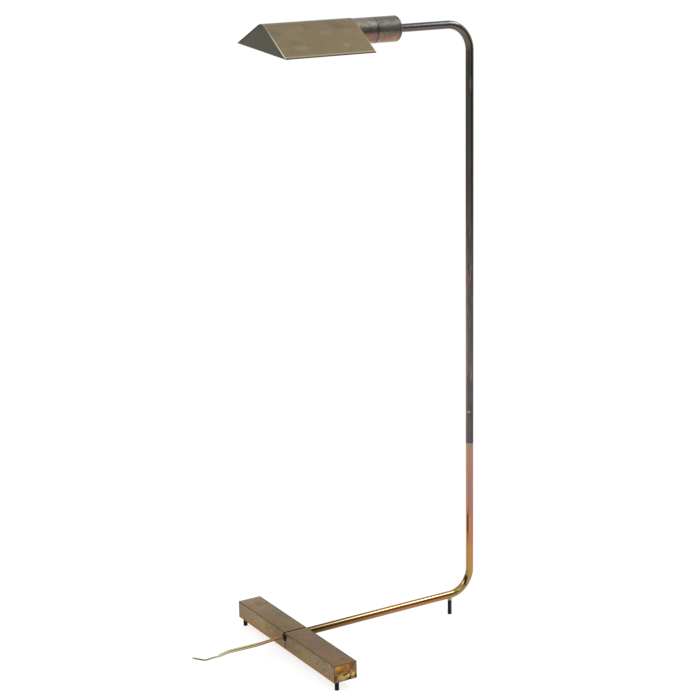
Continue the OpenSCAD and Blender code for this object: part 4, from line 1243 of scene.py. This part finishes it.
tent_lines = (tent_line(crest_r), tent_line(crest_r - sheet_t))
count = len(tent_lines[0])
tent_points = [on_shade(a, u, far) for far in (shade_at, shade_end) for line in tent_lines for a, u in line]
tent_faces = []
tent_finish = []
for k in range(count - 1):
    near_outer, near_inner, far_outer, far_inner = (k + count * line for line in range(4))
    for one, other, finish in ((near_outer, far_outer, 0), (near_inner, far_inner, 1),
                               (near_outer, near_inner, 2), (far_outer, far_inner, 2)):
        tent_faces.append((one, one + 1, other + 1, other))
        tent_finish.append(finish)
for k in (0, count - 1):
    tent_faces.append((k, count + k, 3 * count + k, 2 * count + k))
    tent_finish.append(3)
tent_mesh = solid_mesh("shade_sheet", tent_points, tent_faces)
tent_mesh.polygons.foreach_set("material_index", tent_finish)
make_piece("shade_sheet", tent_mesh, [shade_brass, shade_lining, worn_edge_and_highlight, dark_rim], "head",
           ["shade_tent"], sheet_edge)

# End plates: two brass plates soldered into the ends of the tent, just inside its edges. The front one
# closes the triangle; the rear one is cut away round the barrel. Both are dark green-grey.
plate_t = 0.001
plate_r = 0.0196
front_plate_at = 0.36355
rear_plate_at = 0.21495
rear_hole_r = 0.01965
hole_steps = 24
plate_brass = clouded_finish("plate_brass", (77, 77, 66), [
    ((84, 80, 68), 0.02, 2.1, 0.48, 0.66, 0.7), ((67, 70, 61), 0.016, 5.3, 0.5, 0.66, 0.7),
    ((90, 79, 66), 0.008, 7.7, 0.56, 0.68, 0.5)], (300, 300, 300), (0.36, 0.5), 0.08, Metallic=1.0)

plate_line = tent_line(plate_r)
plate_mesh = cut_through("front_plate", plate_line, front_plate_at, front_plate_at + plate_t, on_shade)
make_piece("front_plate", plate_mesh, [plate_brass], "head", ["shade_front_plate"], sheet_edge)

foot_out, foot_up = plate_line[-1]
low_angle = math.acos(foot_up / rear_hole_r)
wings = []
for side in (-1, 1):
    wing = [(side * foot_out, foot_up)]
    for step in range(hole_steps + 1):
        angle = low_angle + (shade_slope - low_angle) * step / hole_steps
        wing.append((side * rear_hole_r * math.sin(angle), rear_hole_r * math.cos(angle)))
    wings.append(cut_through("rear_wing", wing, rear_plate_at, rear_plate_at + plate_t, on_shade))
make_piece("rear_plate", joined_mesh("rear_plate", wings), [plate_brass], "head",
           ["shade_rear_plate"], sheet_edge)


# Floor: a wide white sheet that the lamp stands on. It takes the soft shadow of the feet and shows as
# white, to the camera and in the polished brass.
def flat_sheet(name, wide, high, finish):
    """A flat sheet that is no part of the lamp."""
    corners = [(a * wide / 2, b * high / 2, 0) for a, b in ((-1, -1), (1, -1), (1, 1), (-1, 1))]
    mesh = bpy.data.meshes.new(name)
    mesh.from_pydata(corners, [], [(0, 1, 2, 3)])
    mesh.materials.append(finish)
    sheet = placed(name, mesh)
    return sheet


def cleared_tree(owner):
    """The empty node tree of a material or a world."""
    owner.use_nodes = True
    owner.node_tree.nodes.clear()
    return owner.node_tree


def seen_straight(tree):
    """1 where the camera, a reflection or glass looks, and 0 where light is gathered."""
    seen = add_node(tree, "ShaderNodeLightPath").outputs
    mirrored = counted(tree, "MAXIMUM", seen["Is Glossy Ray"], seen["Is Transmission Ray"])
    return counted(tree, "MAXIMUM", seen["Is Camera Ray"], mirrored)


floor_wide = 40.0
floor_white = bpy.data.materials.new("floor_white")
tree = cleared_tree(floor_white)
matt = add_node(tree, "ShaderNodeBsdfDiffuse", {"Color": (0.36, 0.36, 0.36, 1)})
glow = add_node(tree, "ShaderNodeEmission", {"Strength": product(tree, seen_straight(tree), 0.75)})
both = add_node(tree, "ShaderNodeAddShader", {0: matt.outputs[0], 1: glow.outputs[0]})
add_node(tree, "ShaderNodeOutputMaterial", {"Surface": both.outputs[0]})
floor_white.cycles.emission_sampling = "NONE"
flat_sheet("floor", floor_wide, floor_wide, floor_white)

# Light: an even white studio with a bright softbox overhead to the right and smaller ones to the left and
# in front. Two dim cards, in front and beside the camera, draw the dark lines along polished tubes.
world = bpy.data.worlds.new("studio")
scene.world = world
tree = cleared_tree(world)
sky = add_node(tree, "ShaderNodeBackground", {
    "Color": (1, 1, 1, 1), "Strength": spanned(tree, seen_straight(tree), 0, 1, 0.8, 1.0)})
add_node(tree, "ShaderNodeOutputWorld", {"Surface": sky.outputs[0]})


def aimed(thing, at, aim):
    """A lamp or a card set at a point and turned to another, out of the camera's sight."""
    way = (Vector(aim) - Vector(at)).to_track_quat("-Z", "Y")
    thing.matrix_world = Matrix.Translation(at) @ way.to_matrix().to_4x4()
    thing.visible_camera = False


for name, at, aim, wide, high, power in (
        ("key_softbox", (1.05, -0.36, 1.8), (1.05, -0.36, 0), 0.6, 0.76, 9.0),
        ("left_softbox", (-1.55, -0.3, 2.0), (0.17, 0, 0.06), 1.1, 0.6, 8.0),
        ("front_softbox", (0.36, -2.1, 1.36), (0.17, 0, 0.06), 0.6, 0.5, 3.6)):
    light = bpy.data.lights.new(name, "AREA")
    light.shape = "RECTANGLE"
    light.size = wide
    light.size_y = high
    light.energy = power
    aimed(placed(name, light), at, aim)

card_grey = bpy.data.materials.new("card_grey")
tree = cleared_tree(card_grey)
grey = add_node(tree, "ShaderNodeEmission", {"Color": (0.16, 0.16, 0.16, 1), "Strength": 1.0})
add_node(tree, "ShaderNodeOutputMaterial", {"Surface": grey.outputs[0]})
card_grey.cycles.emission_sampling = "NONE"
for name, at, aim, wide, high in (
        ("front_card", (1.55, -2.6, 1.2), (0.0, 0.0, 1.2), 3.0, 2.2),
        ("left_card", (-1.75, -1.39, 1.16), (0.16, 0.0, 0.06), 4.6, 1.2)):
    card = flat_sheet(name, wide, high, card_grey)
    aimed(card, at, aim)
    card.visible_diffuse = False
    card.visible_shadow = False
    card.visible_transmission = False
